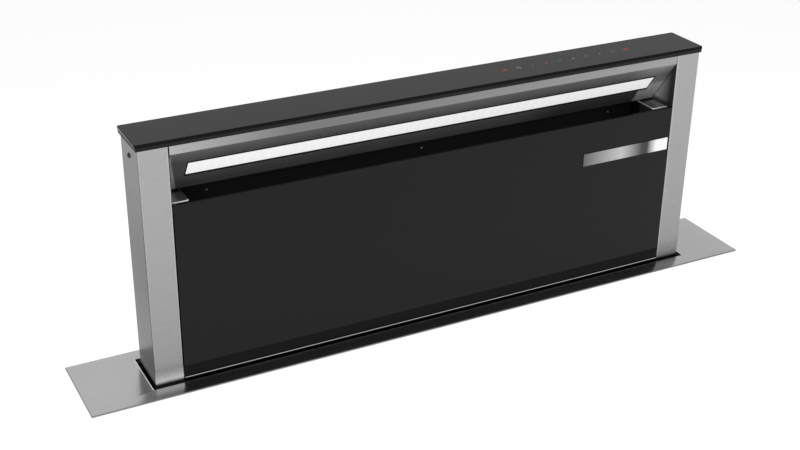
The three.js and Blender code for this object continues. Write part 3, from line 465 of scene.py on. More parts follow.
@dataclass(frozen=True)
class Moulded(Finish):
    """Moulded plastic, rubber or powder paint: matt, with a fine pebbled skin."""

    pebble: float = 1400.0
    depth: float = 0.06
    specular: float = 0.4
    spread: float = 0.15

    def paint(self, board: Board) -> dict[str, Any]:
        """The pebbled skin is fine noise; broad noise shifts the colour a little.

        Args:
            board: the material that it is for.

        Returns:
            The shader's inputs.
        """
        skin = board.noise(self.pebble, 2.0)
        broad = board.noise(12.0, 3.0)
        share = skin * 0.4 + broad * 0.6
        return {
            "Base Color": self.shade(board, 1 - self.spread, 1 + self.spread, share),
            "Roughness": skin * 0.12 + broad * 0.08 + (self.roughness - 0.1),
            "Specular IOR Level": self.specular,
            "Normal": board.bump(skin, self.depth * MM, 0.25),
        }


@dataclass(frozen=True)
class Galvanised(Finish):
    """Zinc-coated sheet with its crystal pattern and faint rolling lines."""

    crystals: float = 90.0

    def paint(self, board: Board) -> dict[str, Any]:
        """Two sizes of Voronoi cells make the crystals; each has its own grey and gloss.

        Args:
            board: the material that it is for.

        Returns:
            The shader's inputs.
        """
        coarse, fine = board.cells(self.crystals), board.cells(self.crystals * 2.7)
        spangle = coarse * 0.65 + fine * 0.35
        dull = board.noise(6.0, 3.0)
        return {
            "Base Color": self.shade(board, 0.82, 1.12, spangle),
            "Metallic": 1.0,
            "Roughness": spangle * 0.16 + dull * 0.12 + (self.roughness - 0.14),
            "Normal": board.bump(spangle, 0.03 * MM, 0.15),
        }


@dataclass(frozen=True)
class MachinedSteel(Finish):
    """Turned or milled metal: fine tool marks and a thin oily variation of tone."""

    marks: float = 700.0

    def paint(self, board: Board) -> dict[str, Any]:
        """Tool marks are tight noise; the tone follows a broad noise.

        Args:
            board: the material that it is for.

        Returns:
            The shader's inputs.
        """
        tool = board.noise(self.marks, 2.0)
        tone = board.noise(18.0, 3.0)
        return {
            "Base Color": self.shade(board, 0.8, 1.12, tone * 0.7 + tool * 0.3),
            "Metallic": 1.0,
            "Roughness": tool * 0.16 + tone * 0.12 + (self.roughness - 0.14),
            "Normal": board.bump(tool, 0.05 * MM, 0.15),
        }


@dataclass(frozen=True)
class CircuitBoard(Finish):
    """Green solder mask with the tracks just showing under it."""

    def paint(self, board: Board) -> dict[str, Any]:
        """Tracks are the mortar of a brick pattern laid flat.

        Args:
            board: the material that it is for.

        Returns:
            The shader's inputs.
        """
        settings = {"offset": 0.37, "squash": 1.0}
        inputs = {
            "Vector": board.place(),
            "Scale": 60.0,
            "Mortar Size": 0.035,
            "Color1": (*grey(0.0), 1.0),
            "Color2": (*grey(0.0), 1.0),
            "Mortar": (*grey(1.0), 1.0),
        }
        tracks = board.node("ShaderNodeTexBrick", settings, inputs, "Fac")
        return {
            "Base Color": self.shade(board, 1.0, 2.2, tracks),
            "Roughness": tracks * 0.1 + board.noise(300.0, 2.0) * 0.1 + (self.roughness - 0.05),
            "Normal": board.bump(tracks, 0.04 * MM, 0.3),
        }


class Coat(Enum):
    """Every finish of the vent, named as its maker would.

    The fades and patches are painted reflections, highlights and shade: a lighter or darker tone
    along an edge, a fold or across a sheet.
    """

    PLATE = BrushedSteel(
        "plate_steel", "brushed_steel", grey(0.42), 0.22,
        painted_light=(
            # painted reflection: the plate darker towards the right
            Fade("X", -0.46, 0.46, 1.0, 0.86),
            Fade("X", 0.4578, 0.4582, 1.0, 0.58, both_sides=True),  # painted shade on the cut ends
            Fade("Y", 0.0212, 0.0216, 0.62, 1.0),  # painted shade on the cut front edge
        ),
    )
    COLUMN = BrushedSteel(
        "column_steel", "brushed_steel", grey(0.38), 0.3, Grain.SHORT, 0.09, 0.07,
        painted_light=(
            Fade("X", 0.3740, 0.3748, 1.0, 1.18, both_sides=True),  # painted highlight on the outer fold
            Fade("X", 0.3749, 0.3754, 1.0, 0.31, both_sides=True),  # painted shade on the outer side
            Fade("X", 0.3410, 0.3413, 0.42, 1.0, both_sides=True),  # painted shade on the inner side
            Fade("X", 0.3424, 0.3430, 1.25, 1.0, both_sides=True),  # painted highlight on the inner fold
            # painted shade: darker towards the foot, a little lighter at the top
            Fade("Z", 0.78, 1.03, 0.82, 1.06),
            Fade("Z", 0.739, 0.758, 2.6, 1.0),  # painted light reflected from the plate
            Fade("Z", 0.7385, 0.7425, 0.02, 1.0),  # painted shade in the gap below the plate
            # painted shade: a dark patch at the right column's foot
            Patch(0.33, ((ACROSS, 0.33, 0.34), (UP, 0.757, 0.744))),
            # painted shade: a darker band on the left column's outer side
            Patch(0.25, ((ACROSS, -0.3749, -0.3754), (UP, 1.03, 0.90), (UP, 0.74, 0.87))),
        ),
        matt=Fade("Z", 0.740, 0.756, 0.35, 1.0),
    )
    COVER = BrushedSteel("cover_steel", "brushed_steel", grey(0.4), 0.32)
    SLOPE = BrushedSteel(
        "slope_steel", "polished_steel", grey(0.27), 0.32, Grain.ACROSS, 0.06, 0.05,
        painted_light=(
            Fade("X", -0.0517, -0.0499, 3.6, 1.0, lean=0.283),  # painted reflection of the column's inner edge, a bright wedge
            Fade("X", 0.3384, 0.3392, 1.0, 0.25, both_sides=True),  # painted shade on the cut ends
            # painted reflection: the tone changes with height up the slope
            Fade("Z", 0.985, 1.005, 1.0, 0.52),
            Fade("Z", 1.004, 1.021, 0.88, 1.25),
            # painted reflections near the right end, and painted shade low on the slope
            Patch(2.0, ((ACROSS, 0.27, 0.32), (UP, 0.9895, 0.9925))),
            Patch(3.3, ((ACROSS, 0.303, 0.306), (UP, 0.9925, 0.9895))),
            Patch(0.5, ((ACROSS, 0.12, 0.19), (ACROSS, 0.306, 0.303), (UP, 0.990, 0.985))),
        ),
        metal=0.72,
    )
    FASCIA = BrushedSteel(
        "fascia_steel", "brushed_steel", grey(0.27), 0.32, Grain.ACROSS, 0.07, 0.06,
        # painted reflection: lighter at both ends, darker in the middle
        painted_light=(Fade("X", -0.345, -0.2, 1.7, 0.76), Fade("X", -0.1, 0.34, 0.88, 1.55)),
        metal=0.72,
    )
    CHEEK = BrushedSteel(
        "cheek_steel", "polished_steel", grey(0.27), 0.3, Grain.ACROSS, 0.05, 0.04,
        # painted shade: darker at the front and at the foot; painted highlight towards the back
        painted_light=(Fade("Y", 0.056, 0.084, 0.16, 2.2), Fade("Z", 0.9625, 0.9675, 0.15, 1.0)),
        metal=0.6,
    )
    # lighter than the slope's steel: a painted highlight on the shelves
    SHELF = BrushedSteel(
        "shelf_steel", "polished_steel", grey(0.38), 0.28, Grain.ACROSS, 0.05, 0.04,
        painted_light=(
            Fade("Z", 0.9575, 0.9584, 0.36, 1.0),  # painted shade on the walls below the flat top
            # painted shadow: a dark band at the back, under the slope's lower edge
            Fade("Y", 0.086, 0.089, 1.0, 0.15),
            # painted shade: darker towards the inner edge
            Fade("X", 0.327, 0.334, 0.3, 1.0, both_sides=True),
        ),
        metal=0.65,
    )
    # pale, half-metal steel: a painted highlight along the rolled hems
    HEM = BrushedSteel(
        "hem_steel", "polished_steel", grey(0.72), 0.34, Grain.ACROSS, 0.04, 0.03,
        painted_light=(
            # painted shade: darker at the back, darker still at the left end
            Fade("Y", 0.0612, 0.0625, 1.0, 0.5),
            Patch(0.25, ((ACROSS, -0.30, -0.31), (BACK, 0.0612, 0.0625))),
        ),
        metal=0.5,
    )
    # pale, half-metal steel: a painted highlight along the cut-out's rims
    RIM = BrushedSteel(
        "rim_steel", "polished_steel", grey(0.72), 0.34, Grain.ACROSS, 0.04, 0.03, metal=0.5
    )
    BADGE = BrushedSteel(
        "bare_badge_steel", "brushed_steel", grey(0.3), 0.3, Grain.ACROSS, 0.06, 0.08,
        painted_light=(
            # painted reflection: a grey ramp, a dark band and a near-white end along the strip
            Fade("X", 0.204, 0.262, 0.44, 1.7),
            Fade("X", 0.264, 0.296, 1.0, 0.135),
            Fade("X", 0.3045, 0.319, 1.0, 13.0),
        ),
    )
    MIRROR = PolishedSteel("mirror_steel", "polished_steel", grey(0.5), 0.14)
    TRIM = PolishedSteel("bright_trim", "polished_steel", grey(0.5), 0.22)
    FILTER = PolishedSteel("filter_steel", "filter_steel", grey(0.46), 0.2)
    GLASS = BlackGlass("black_glass", "black_glass", (0.0042, 0.0042, 0.0045), 0.02)
    CAP_GLASS = BlackGlass(
        "cap_black_glass", "black_glass", (0.003, 0.003, 0.0033), 0.05, 0.0,
        gloss=Fade("X", -0.38, 0.38, 1.0, 0.72),
    )
    OPAL = OpalLight("opal_diffuser", "opal_light", (1.0, 1.0, 0.995), 0.5)
    BLACK = Moulded(
        "black_powder_paint", "black_paint", (0.006, 0.006, 0.0063), 0.5, 1100.0, 0.06, 0.2
    )
    LINER = Moulded(
        "liner_paint", "black_paint", (0.0065, 0.006, 0.006), 0.6, 1100.0, 0.03, 0.15
    )
    RUBBER = Moulded("seal_rubber", "rubber", grey(0.008), 0.8, 900.0, 0.04, 0.25)
    PLASTIC = Moulded("black_moulding", "black_plastic", (0.016, 0.016, 0.018), 0.55)
    ACETAL = Moulded(
        "white_acetal", "white_plastic", (0.66, 0.66, 0.63), 0.45, 900.0, 0.04, 0.4, 0.05
    )
    ZINC = Galvanised("zinc_sheet", "galvanised", (0.42, 0.43, 0.435), 0.42)
    MILLED = MachinedSteel("machined_steel", "plain_steel", (0.34, 0.34, 0.35), 0.36)
    DARK_SCREW = MachinedSteel("blackened_screw", "plain_steel", grey(0.05), 0.4)
    CAST = MachinedSteel("cast_aluminium", "aluminium", (0.52, 0.52, 0.53), 0.45, 500.0)
    BOARD = CircuitBoard("circuit_board", "circuit_board", (0.008, 0.05, 0.02), 0.5)
    RED_PRINT = Moulded("red_print", "black_glass", (0.55, 0.02, 0.015), 0.5, 2500.0, 0.01)
    GREY_BAR = Moulded("ruled_lines", "plain_steel", (0.06, 0.06, 0.065), 0.6, 2500.0, 0.01)
    GREY_PRINT = Moulded("grey_print", "black_glass", (0.17, 0.17, 0.175), 0.5, 2500.0, 0.01)


def pair(name: str) -> tuple[str, str]:
    """The node names of a part that has a right and a left one."""
    return (f"{name}_right", f"{name}_left")


FEET = pair("foot_front") + pair("foot_rear")
NODE_COATS: dict[Coat, tuple[str, ...]] = {
    Coat.PLATE: ("counter_plate",),
    Coat.COLUMN: pair("column"),
    Coat.COVER: ("rear_panel",),
    Coat.BADGE: ("badge_strip",),
    Coat.SLOPE: ("light_trough",),
    Coat.SHELF: pair("end_shelf"),
    Coat.MIRROR: ("drip_gutter", "panel_carrier"),
    Coat.FILTER: pair("filter"),
    Coat.GLASS: ("panel_glass",),
    Coat.CAP_GLASS: ("cap_glass",),
    Coat.OPAL: ("light_diffuser",),
    Coat.BLACK: ("cap_tray", "lift_gearmotor"),
    Coat.RUBBER: ("wiper_seal", "counter_gasket"),
    Coat.PLASTIC: (
        *pair("shaft_bearing"), *pair("filter_latch"), "limit_switch", "impeller",
        "outlet_collar", "damper_front", "damper_rear", "power_inlet", *FEET,
    ),
    Coat.ACETAL: pair("runner"),
    Coat.ZINC: (
        "neck_frame", "chassis_shell", "chassis_front", "chassis_floor", "blower_box",
        "blower_cover", "volute_scroll", "inlet_ring", "electronics_box",
        *pair("foot_rail"), *pair("leg"),
    ),
    Coat.MILLED: (
        *pair("guide_rail"), *pair("counter_clamp"), "lift_shaft", *pair("pinion"),
        *pair("rack"),
    ),
    Coat.CAST: ("blower_motor", "led_carrier"),
    Coat.BOARD: ("touch_board",),
}


def dress_nodes() -> None:
    """Gives every carried-over CAD node its finish; a node left out stops the script."""
    left = set(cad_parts)
    for coat, names in NODE_COATS.items():
        for name in names:
            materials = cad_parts[name].data.materials
            materials.clear()
            materials.append(coat.value.material())
            left.discard(name)
    if left:
        raise ValueError(f"these nodes have no finish: {sorted(left)}")
    LOG.info("dressed %d nodes", len(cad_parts))


# ------------------------------------------------------------------ forms


CORNER_STEPS = 6  # segments of a plan's quarter circle
EDGE_STEPS = 4  # segments of an edge's quarter circle
BEND_STEPS = 6  # segments of a path's bend
SHARP = 0.02 * MM  # least radius of a corner
CREASE = math.radians(35.0)  # past this angle an edge stays sharp
NEARLY_UP = (0.02, 0.01, 1.0)  # no bar or cable lies along it
HALF_TURN = Matrix.Rotation(math.pi, 4, "Z")


@dataclass(frozen=True)
class Plan:
    """A rectangle seen from above, or square on to any other pair of axes."""

    low: tuple[float, float]
    high: tuple[float, float]

    def grown(self, by: float) -> "Plan":
        """The rectangle with every side moved outwards."""
        (left, foot), (right, top) = self.low, self.high
        return Plan((left - by, foot - by), (right + by, top + by))

    def outline(self, radius: float) -> np.ndarray:
        """Rounded rectangle: a quarter circle at each corner, joined by straight sides.

        Args:
            radius: of the corners.

        Returns:
            Points anticlockwise, one row each.
        """
        (left, foot), (right, top) = self.low, self.high
        turn = np.linspace(0.0, math.pi / 2, CORNER_STEPS + 1)
        angle = (np.arange(4)[:, None] * math.pi / 2 + turn).ravel()
        corners = np.array([(right, top), (left, top), (left, foot), (right, foot)])
        inwards = np.array([(-1, -1), (1, -1), (1, 1), (-1, 1)]) * radius
        ring = np.stack([np.cos(angle), np.sin(angle)], axis=1) * radius
        return np.repeat(corners + inwards, CORNER_STEPS + 1, axis=0) + ring


class Facing(Enum):
    """Which row-frame axes hold a form's own first, second and height coordinates."""

    UP = (0, 1, 2)
    FORWARD = (0, 2, 1)
    SIDEWAYS = (1, 2, 0)


@dataclass
class Form:
    """A closed surface, or several, as arrays; it becomes one Blender piece."""

    points: np.ndarray
    faces: list[np.ndarray]

    @staticmethod
    def loft(rings: np.ndarray, around: bool = False) -> "Form":
        """Joins rings of points into one surface: point (i, j) to its neighbours by quads.

        Args:
            rings: rings, points and three coordinates.
            around: the last ring joins the first; otherwise both ends are closed by a face.

        Returns:
            The closed form, with its faces outwards.
        """
        index = np.arange(rings.shape[0] * rings.shape[1]).reshape(rings.shape[:2])
        low, high = (index, np.roll(index, -1, axis=0)) if around else (index[:-1], index[1:])
        corners = [low, np.roll(low, -1, axis=1), np.roll(high, -1, axis=1), high]
        faces = [np.stack(corners, axis=-1).reshape(-1, 4)]
        if not around:
            faces += [index[0][None, ::-1], index[-1][None]]
        return Form(rings.reshape(-1, 3), faces).outward()

    def outward(self) -> "Form":
        """Turns every face round if the enclosed volume comes out negative.

        Returns:
            This form, for the next call.
        """
        volume = 0.0
        for group in self.faces:
            first = self.points[group[:, 0]]
            for i in range(1, group.shape[1] - 1):
                second, third = self.points[group[:, i]], self.points[group[:, i + 1]]
                volume += float(np.einsum("ij,ij->", first, np.cross(second, third)))
        if volume < 0:
            self.faces = [group[:, ::-1] for group in self.faces]
        return self

    def moved(self, by: Sequence[float] | Matrix) -> "Form":
        """A copy moved by a vector or through a matrix.

        Args:
            by: the vector or the matrix.

        Returns:
            The copy.
        """
        if isinstance(by, Matrix):
            full = np.array(by)
            return Form(self.points @ full[:3, :3].T + full[:3, 3], self.faces).outward()
        return Form(self.points + np.array(by), self.faces).outward()

    def mirrored(self) -> "Form":
        """A copy on the other side of x = 0."""
        return Form(self.points * (-1.0, 1.0, 1.0), self.faces).outward()

    def paired(self) -> "Form":
        """This form and its mirrored copy as one."""
        return Form.together([self, self.mirrored()])

    def spread(self, places: Iterable[Sequence[float]], turned_back: bool = False) -> "Form":
        """Copies at several places as one form.

        Args:
            places: where each copy goes.
            turned_back: turned half round the upright first, to face the other way.

        Returns:
            All the copies.
        """
        first = self.moved(HALF_TURN) if turned_back else self
        return Form.together(first.moved(place) for place in places)

    @staticmethod
    def together(forms: Iterable["Form"]) -> "Form":
        """Several forms as one.

        Args:
            forms: the forms, which stay separate surfaces.

        Returns:
            One form that holds them all.
        """
        points, faces, start = [], [], 0
        for form in forms:
            points.append(form.points)
            faces += [group + start for group in form.faces]
            start += len(form.points)
        return Form(np.concatenate(points), faces)

    def piece(
        self, name: str, coat: Coat, body: str, replaces: Sequence[str] = ()
    ) -> bpy.types.Object:
        """Makes the Blender piece, dresses it and lets it ride.

        Args:
            name: the piece's name.
            coat: its finish.
            body: the CAD body that it moves with.
            replaces: CAD nodes that it stands for.

        Returns:
            The piece.
        """
        sizes = np.concatenate([np.full(len(group), group.shape[1]) for group in self.faces])
        corners = np.concatenate([group.ravel() for group in self.faces])
        mesh = bpy.data.meshes.new(name)
        mesh.vertices.add(len(self.points))
        mesh.vertices.foreach_set("co", self.points.astype(np.float32).ravel())
        mesh.loops.add(len(corners))
        mesh.loops.foreach_set("vertex_index", corners.astype(np.int32))
        mesh.polygons.add(len(sizes))
        starts = np.concatenate([[0], np.cumsum(sizes)[:-1]]).astype(np.int32)
        mesh.polygons.foreach_set("loop_start", starts)
        mesh.polygons.foreach_set("use_smooth", np.ones(len(sizes), bool))
        mesh.update(calc_edges=True)
        mesh.validate()
        mesh.set_sharp_from_angle(angle=CREASE)
        made = bpy.data.objects.new(name, mesh)
        bpy.context.scene.collection.objects.link(made)
        mesh.materials.append(coat.value.material())
        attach(made, body)
        if replaces:
            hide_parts(*replaces)
        LOG.info("%s rides on %s: %d faces", name, body, len(sizes))
        return made


def in_mm(*points: Sequence[float] | float) -> np.ndarray:
    """Points given in millimetres, in metres."""
    return np.array(points) * MM


def grid(*axes: Sequence[float] | float) -> list[tuple[float, ...]]:
    """Every place whose x, y and z are each among the given ones."""
    return list(product(*(np.atleast_1d(axis) for axis in axes)))


def even_angles(sides: int) -> np.ndarray:
    """The angles of the corners of an even ring, from 0."""
    return np.arange(sides) * 2 * math.pi / sides


def raised(outline: np.ndarray, height: float) -> np.ndarray:
    """A flat outline with its height as third coordinate."""
    return np.column_stack([outline, np.full(len(outline), height)])


def laid(rings: np.ndarray, facing: Facing) -> np.ndarray:
    """Puts a form's own coordinates on the row-frame axes that it faces.

    Args:
        rings: points with the form's first, second and height coordinate.
        facing: the axes that these go on.

    Returns:
        The same points in the row frame.
    """
    placed = np.empty_like(rings)
    placed[..., list(facing.value)] = rings
    return placed


def rounded_edge(radius: float) -> np.ndarray:
    """Quarter circle of an edge, as (inset, height) from inset = radius, height 0."""
    angle = np.linspace(0.0, math.pi / 2, EDGE_STEPS + 1)
    return np.stack([radius * (1 - np.sin(angle)), radius * (1 - np.cos(angle))], axis=1)


def slab(
    plan: Plan, low: float, high: float, corner: float, edge: float, facing: Facing = Facing.UP
) -> Form:
    """Flat slab with rounded corners and edges: outlines inset by the edge's quarter circle.

    Args:
        plan: the slab's outline before rounding.
        low: height of its lower face.
        high: height of its upper face.
        corner: radius of the outline's corners.
        edge: radius of both edges.
        facing: the axes of outline and height.

    Returns:
        The closed form.
    """
    below = np.concatenate([[(1.5 * edge, 0.0)], rounded_edge(edge)])
    above = below[::-1] * (1, -1)
    section = np.concatenate([below + (0, low), above + (0, high)])
    rings = [
        raised(plan.grown(-by).outline(max(corner - by, SHARP)), height)
        for by, height in section
    ]
    return Form.loft(laid(np.array(rings), facing))


def surround(
    outer: Plan,
    inner: Plan,
    section: Sequence[tuple[float, float, float]],
    corner: float,
    facing: Facing = Facing.UP,
) -> Form:
    """Frame with one section all round: each section point runs along its own outline.

    Args:
        outer: the frame's outer outline.
        inner: the outline of its opening.
        section: closed loop of (share, outwards, height): the share of the way from the
            inner to the outer outline, metres outwards from there, and the height.
        corner: radius of the corners.
        facing: the axes of outline and height.

    Returns:
        The closed form.
    """
    rings = []
    for share, out, height in section:
        low, high = (
            tuple(i + (o - i) * share for i, o in zip(*ends))
            for ends in ((inner.low, outer.low), (inner.high, outer.high))
        )
        rings.append(raised(Plan(low, high).grown(out).outline(corner), height))
    return Form.loft(laid(np.array(rings), facing), around=True)


def round_form(
    radii: np.ndarray, heights: np.ndarray, facing: Facing, around: bool = False
) -> Form:
    """Rings round the height axis: each row of radii at even angles, at its own height.

    Args:
        radii: a row for each ring, with one radius for each of its sides.
        heights: of the rings.
        facing: the axes of circle and height.
        around: the last ring joins the first.

    Returns:
        The closed form.
    """
    angle = even_angles(radii.shape[1])
    across, along = radii * np.cos(angle), radii * np.sin(angle)
    upward = np.broadcast_to(heights[:, None], radii.shape)
    return Form.loft(laid(np.stack([across, along, upward], axis=-1), facing), around)


def turned(
    profile: Sequence[tuple[float, float]] | np.ndarray,
    sides: int = 32,
    facing: Facing = Facing.UP,
    around: bool = False,
) -> Form:
    """Turned form: (radius, height) points carried round the height axis.

    Args:
        profile: from one end of the axis to the other, or the closed loop of a ring.
        sides: steps round the axis.
        facing: the axes of circle and height.
        around: the profile is a closed loop; otherwise its ends are closed flat.

    Returns:
        The closed form.
    """
    steps = np.array(profile)
    return round_form(np.repeat(steps[:, :1], sides, axis=1), steps[:, 1], facing, around)


def hexagon(flat: float, sides: int) -> np.ndarray:
    """How far a hexagon reaches at even angles, for its distance from middle to flat."""
    return flat / np.cos(np.mod(even_angles(sides), math.pi / 3) - math.pi / 6)


class Screw(Enum):
    """Radius and height in millimetres of the head of each pan screw."""

    COLUMN = (3.2, 1.3)
    REAR_PANEL = (3.2, 1.4)
    HOUSING = (4.0, 2.2)
    FLANGE = (3.6, 1.9)
    COVER = (4.2, 2.2)
    MOTOR = (5.0, 3.0)
    COLLAR = (3.4, 1.8)
    LID = (3.6, 1.8)


def pan_screw(screw: Screw, facing: Facing) -> Form:
    """Pan-head screw with a hexagon socket: one turned outline, the socket's walls inside.

    Args:
        screw: which one.
        facing: the axes; the head stands towards the third one's high end.

    Returns:
        The closed form, seated at height 0.
    """
    sides = 24
    radius, height = in_mm(*screw.value)
    circle, socket = np.full(sides, radius), hexagon(0.42 * radius, sides)
    steps = [
        (0.9 * circle, -0.1 * MM),
        (circle, 0.0),
        (circle, 0.35 * height),
        (0.93 * circle, 0.7 * height),
        (0.75 * circle, height),
        (1.06 * socket, height),
        (socket, 0.94 * height),
        (socket, 0.3 * height),
        (0.2 * socket, 0.22 * height),
    ]
    return round_form(np.array([r for r, _ in steps]), np.array([z for _, z in steps]), facing)


def stroke(path: np.ndarray, width: float, low: float, high: float, closed: bool) -> Form:
    """A printed line: the path moved half a width to each side, with a little thickness.

    Args:
        path: points in the plane.
        width: of the line.
        low: height of its underside.
        high: height of its top.
        closed: the path's end joins its start.

    Returns:
        The closed form.
    """
    if closed:
        along = np.roll(path, -1, axis=0) - np.roll(path, 1, axis=0)
    else:
        along = np.gradient(path, axis=0)
    along /= np.linalg.norm(along, axis=1, keepdims=True)
    side = np.stack([-along[:, 1], along[:, 0]], axis=1) * width / 2
    left, right = path + side, path - side
    corners = [(left, low), (right, low), (right, high), (left, high)]
    return Form.loft(np.stack([raised(edge, z) for edge, z in corners], axis=1), closed)


def tube(path: Sequence[Sequence[float]] | np.ndarray, radius: float, sides: int = 12) -> Form:
    """Round bar or cable: a circle square to the path at each of its points.

    Args:
        path: points of the middle line; none of its steps is upright.
        radius: of the section.
        sides: of the section.

    Returns:
        The closed form.
    """
    line = np.array(path, float)
    ahead = np.gradient(line, axis=0)
    ahead /= np.linalg.norm(ahead, axis=1, keepdims=True)
    aside = np.cross(ahead, NEARLY_UP)
    aside /= np.linalg.norm(aside, axis=1, keepdims=True)
    above = np.cross(aside, ahead)
    angle = even_angles(sides)[:, None]
    circle = np.cos(angle) * aside[:, None] + np.sin(angle) * above[:, None]
    return Form.loft(line[:, None] + radius * circle)


def bent(corners: Sequence[Sequence[float]], radius: float) -> np.ndarray:
    """A path through corners, each one rounded by a curve of the second degree.

    Args:
        corners: the path's points.
        radius: how far from a corner its curve starts and ends.

    Returns:
        The smooth path's points.
    """
    spots = [np.array(corner, float) for corner in corners]
    t = np.linspace(0.0, 1.0, BEND_STEPS + 1)[:, None]
    path = [spots[:1]]
    for before, corner, after in zip(spots, spots[1:], spots[2:]):
        start = corner + (before - corner) / np.linalg.norm(before - corner) * radius
        end = corner + (after - corner) / np.linalg.norm(after - corner) * radius
        path.append((1 - t) ** 2 * start + 2 * t * (1 - t) * corner + t * t * end)
    return np.concatenate([*path, spots[-1:]])


def louvre(width: float, height: float, rise: float) -> Form:
    """Pressed louvre on a wall that faces -y: a scoop whose rise falls to 0 at both ends.

    Args:
        width: along x.
        height: along z.
        rise: how far the lip stands out in the middle.

    Returns:
        The closed form, with its foot on y = 0.
    """
    across = np.linspace(-1.0, 1.0, 13)
    swell = np.sqrt(np.clip(1.0 - across**6, 0.02, 1.0))
    outline = np.array([(0.3, 0.0), (-1.0, 0.02), (-0.92, 0.16), (-0.55, 0.6), (0.3, 1.0)])
    rings = np.empty((len(across), len(outline), 3))
    rings[..., 0] = across[:, None] * width / 2
    rings[..., 1] = outline[:, 0] * rise * swell[:, None]
    rings[..., 2] = (outline[:, 1] - 0.5) * height * swell[:, None]
    return Form.loft(rings)


def ridged(radius: float, depth: float, pitch: float, low: float, high: float) -> Form:
    """Threaded bar: a saw-tooth outline turned round the upright axis.

    Args:
        radius: over the crests.
        depth: of the thread.
        pitch: between crests.
        low: height of its lower end.
        high: height of its upper end.

    Returns:
        The closed form.
    """
    profile = [(radius - depth, low)]
    for crest in low + pitch * (np.arange(int((high - low) / pitch)) + 0.5):
        profile += [(radius, crest), (radius - depth, crest + pitch / 2)]
    return turned(profile, 20)


def extent(node: str) -> tuple[np.ndarray, np.ndarray]:
    """Lowest and highest corner of a CAD node at rest, as arrays."""
    low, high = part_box(node)
    return np.array(low), np.array(high)


def seen(node: str, facing: Facing = Facing.UP) -> tuple[Plan, float, float]:
    """A CAD node's outline square on to an axis, and its lowest and highest place along it."""
    low, high = (corner[list(facing.value)] for corner in extent(node))
    return Plan(tuple(low[:2]), tuple(high[:2])), low[2], high[2]


# ------------------------------------------------------------------ sub-assemblies


@dataclass
class GlassWork:
    """Cap glass with its touch fields, front glass and the bare strip on it."""

    cap_corner: float = 2.0 * MM
    cap_edge: float = 0.7 * MM
    panel_corner: float = 0.8 * MM
    panel_edge: float = 0.5 * MM
    badge_corner: float = 0.8 * MM
    badge_edge: float = 0.35 * MM
    trim_radius: float = 0.7 * MM
    trim_inset: float = 0.4 * MM
    sign_sink: float = 0.02 * MM
    sign_rise: float = 0.08 * MM
    sign_line: float = 0.55 * MM
    sign_ring: float = 2.6 * MM
    sign_dot: float = 0.7 * MM
    sign_first: float = 99.0 * MM
    sign_pitch: float = 20.1 * MM
    sign_row: float = 78.85 * MM

    def build(self) -> None:
        """Makes the three sheets, the bead and the print on the cap."""
        self.glass()
        self.foot_trim()
        self.badge()
        self.signs()

    def glass(self) -> None:
        """Cap glass with a rounded edge, and front glass with a finely ground one."""
        cap = slab(*seen("cap_glass"), self.cap_corner, self.cap_edge)
        cap.piece("cap_glass_sheet", Coat.CAP_GLASS, "tower", ["cap_glass"])
        place = seen("panel_glass", Facing.FORWARD)
        front = slab(*place, self.panel_corner, self.panel_edge, Facing.FORWARD)
        front.piece("front_glass_sheet", Coat.GLASS, "front_panel", ["panel_glass"])

    def badge(self) -> None:
        """Bare metal strip, slightly rounded."""
        place = seen("badge_strip", Facing.FORWARD)
        strip = slab(*place, self.badge_corner, self.badge_edge, Facing.FORWARD)
        strip.piece("bare_badge", Coat.BADGE, "front_panel", ["badge_strip"])

    def foot_trim(self) -> None:
        """Half-round bright bead along the panel's foot, made of half circles."""
        low, high = extent("panel_glass")
        angle, radius = np.linspace(0.0, math.pi, 7), self.trim_radius
        depth, height = low[1] - radius * np.sin(angle), low[2] - radius + radius * np.cos(angle)
        rings = [
            np.column_stack([np.full(len(angle), x), depth, height])
            for x in (low[0] + self.trim_inset, high[0] - self.trim_inset)
        ]
        Form.loft(np.array(rings)).piece("foot_trim", Coat.TRIM, "front_panel")

    def _arc(self, radius: float, start: float, end: float, count: int = 20) -> np.ndarray:
        """Points on a circle about the origin from one angle to another, in degrees."""
        angle = np.radians(np.linspace(start, end, count, endpoint=end - start < 360))
        return np.stack([np.cos(angle), np.sin(angle)], axis=1) * radius

    def _line(self, start: Sequence[float], end: Sequence[float]) -> np.ndarray:
        """Points along a straight line between two ends, which are in millimetres."""
        return np.linspace(np.array(start) * MM, np.array(end) * MM, 4)

    def signs(self) -> None:
        """Plain signs for the ten touch fields, in the photo's two colours.

        Each is a field's number from the left, a line about the field's middle, and whether
        the line closes on itself.
        """
        top = extent("cap_glass")[1][2]
        dot = self._arc(self.sign_dot, 0, 360, 10)
        bar, arrow = self._line((-2.2, 0), (2.2, 0)), in_mm((-2.4, -1.2), (0, 1.6), (2.4, -1.2))
        red = (
            (0, self._line((-3.4, 0.9), (3.4, 0.9)), False),
            (0, self._line((-3.4, -0.9), (3.4, -0.9)), False),
            (3, dot, True),
            (9, self._arc(self.sign_ring, 125, 415), False),
            (9, self._line((0, 0.6), (0, 3.2)), False),
        )
        pale = (
            (1, self._arc(self.sign_ring, 0, 360), True),
            (1, self._line((0, 0), (0, 1.8)), False),
            (2, dot, True),
            (4, bar, False),
            (5, bar, False),
            (5, self._line((0, -2.2), (0, 2.2)), False),
            (6, arrow, False),
            (7, dot * 1.3, True),
            (8, arrow * (1, -1), False),
        )
        for name, coat, signs in (
            ("red", Coat.RED_PRINT, red), ("grey", Coat.GREY_PRINT, pale)
        ):
            forms = []
            for number, path, closed in signs:
                placed = path + (self.sign_first + self.sign_pitch * number, self.sign_row)
                low, high = top - self.sign_sink, top + self.sign_rise
                forms.append(stroke(placed, self.sign_line, low, high, closed))
            Form.together(forms).piece(f"touch_signs_{name}", coat, "tower")


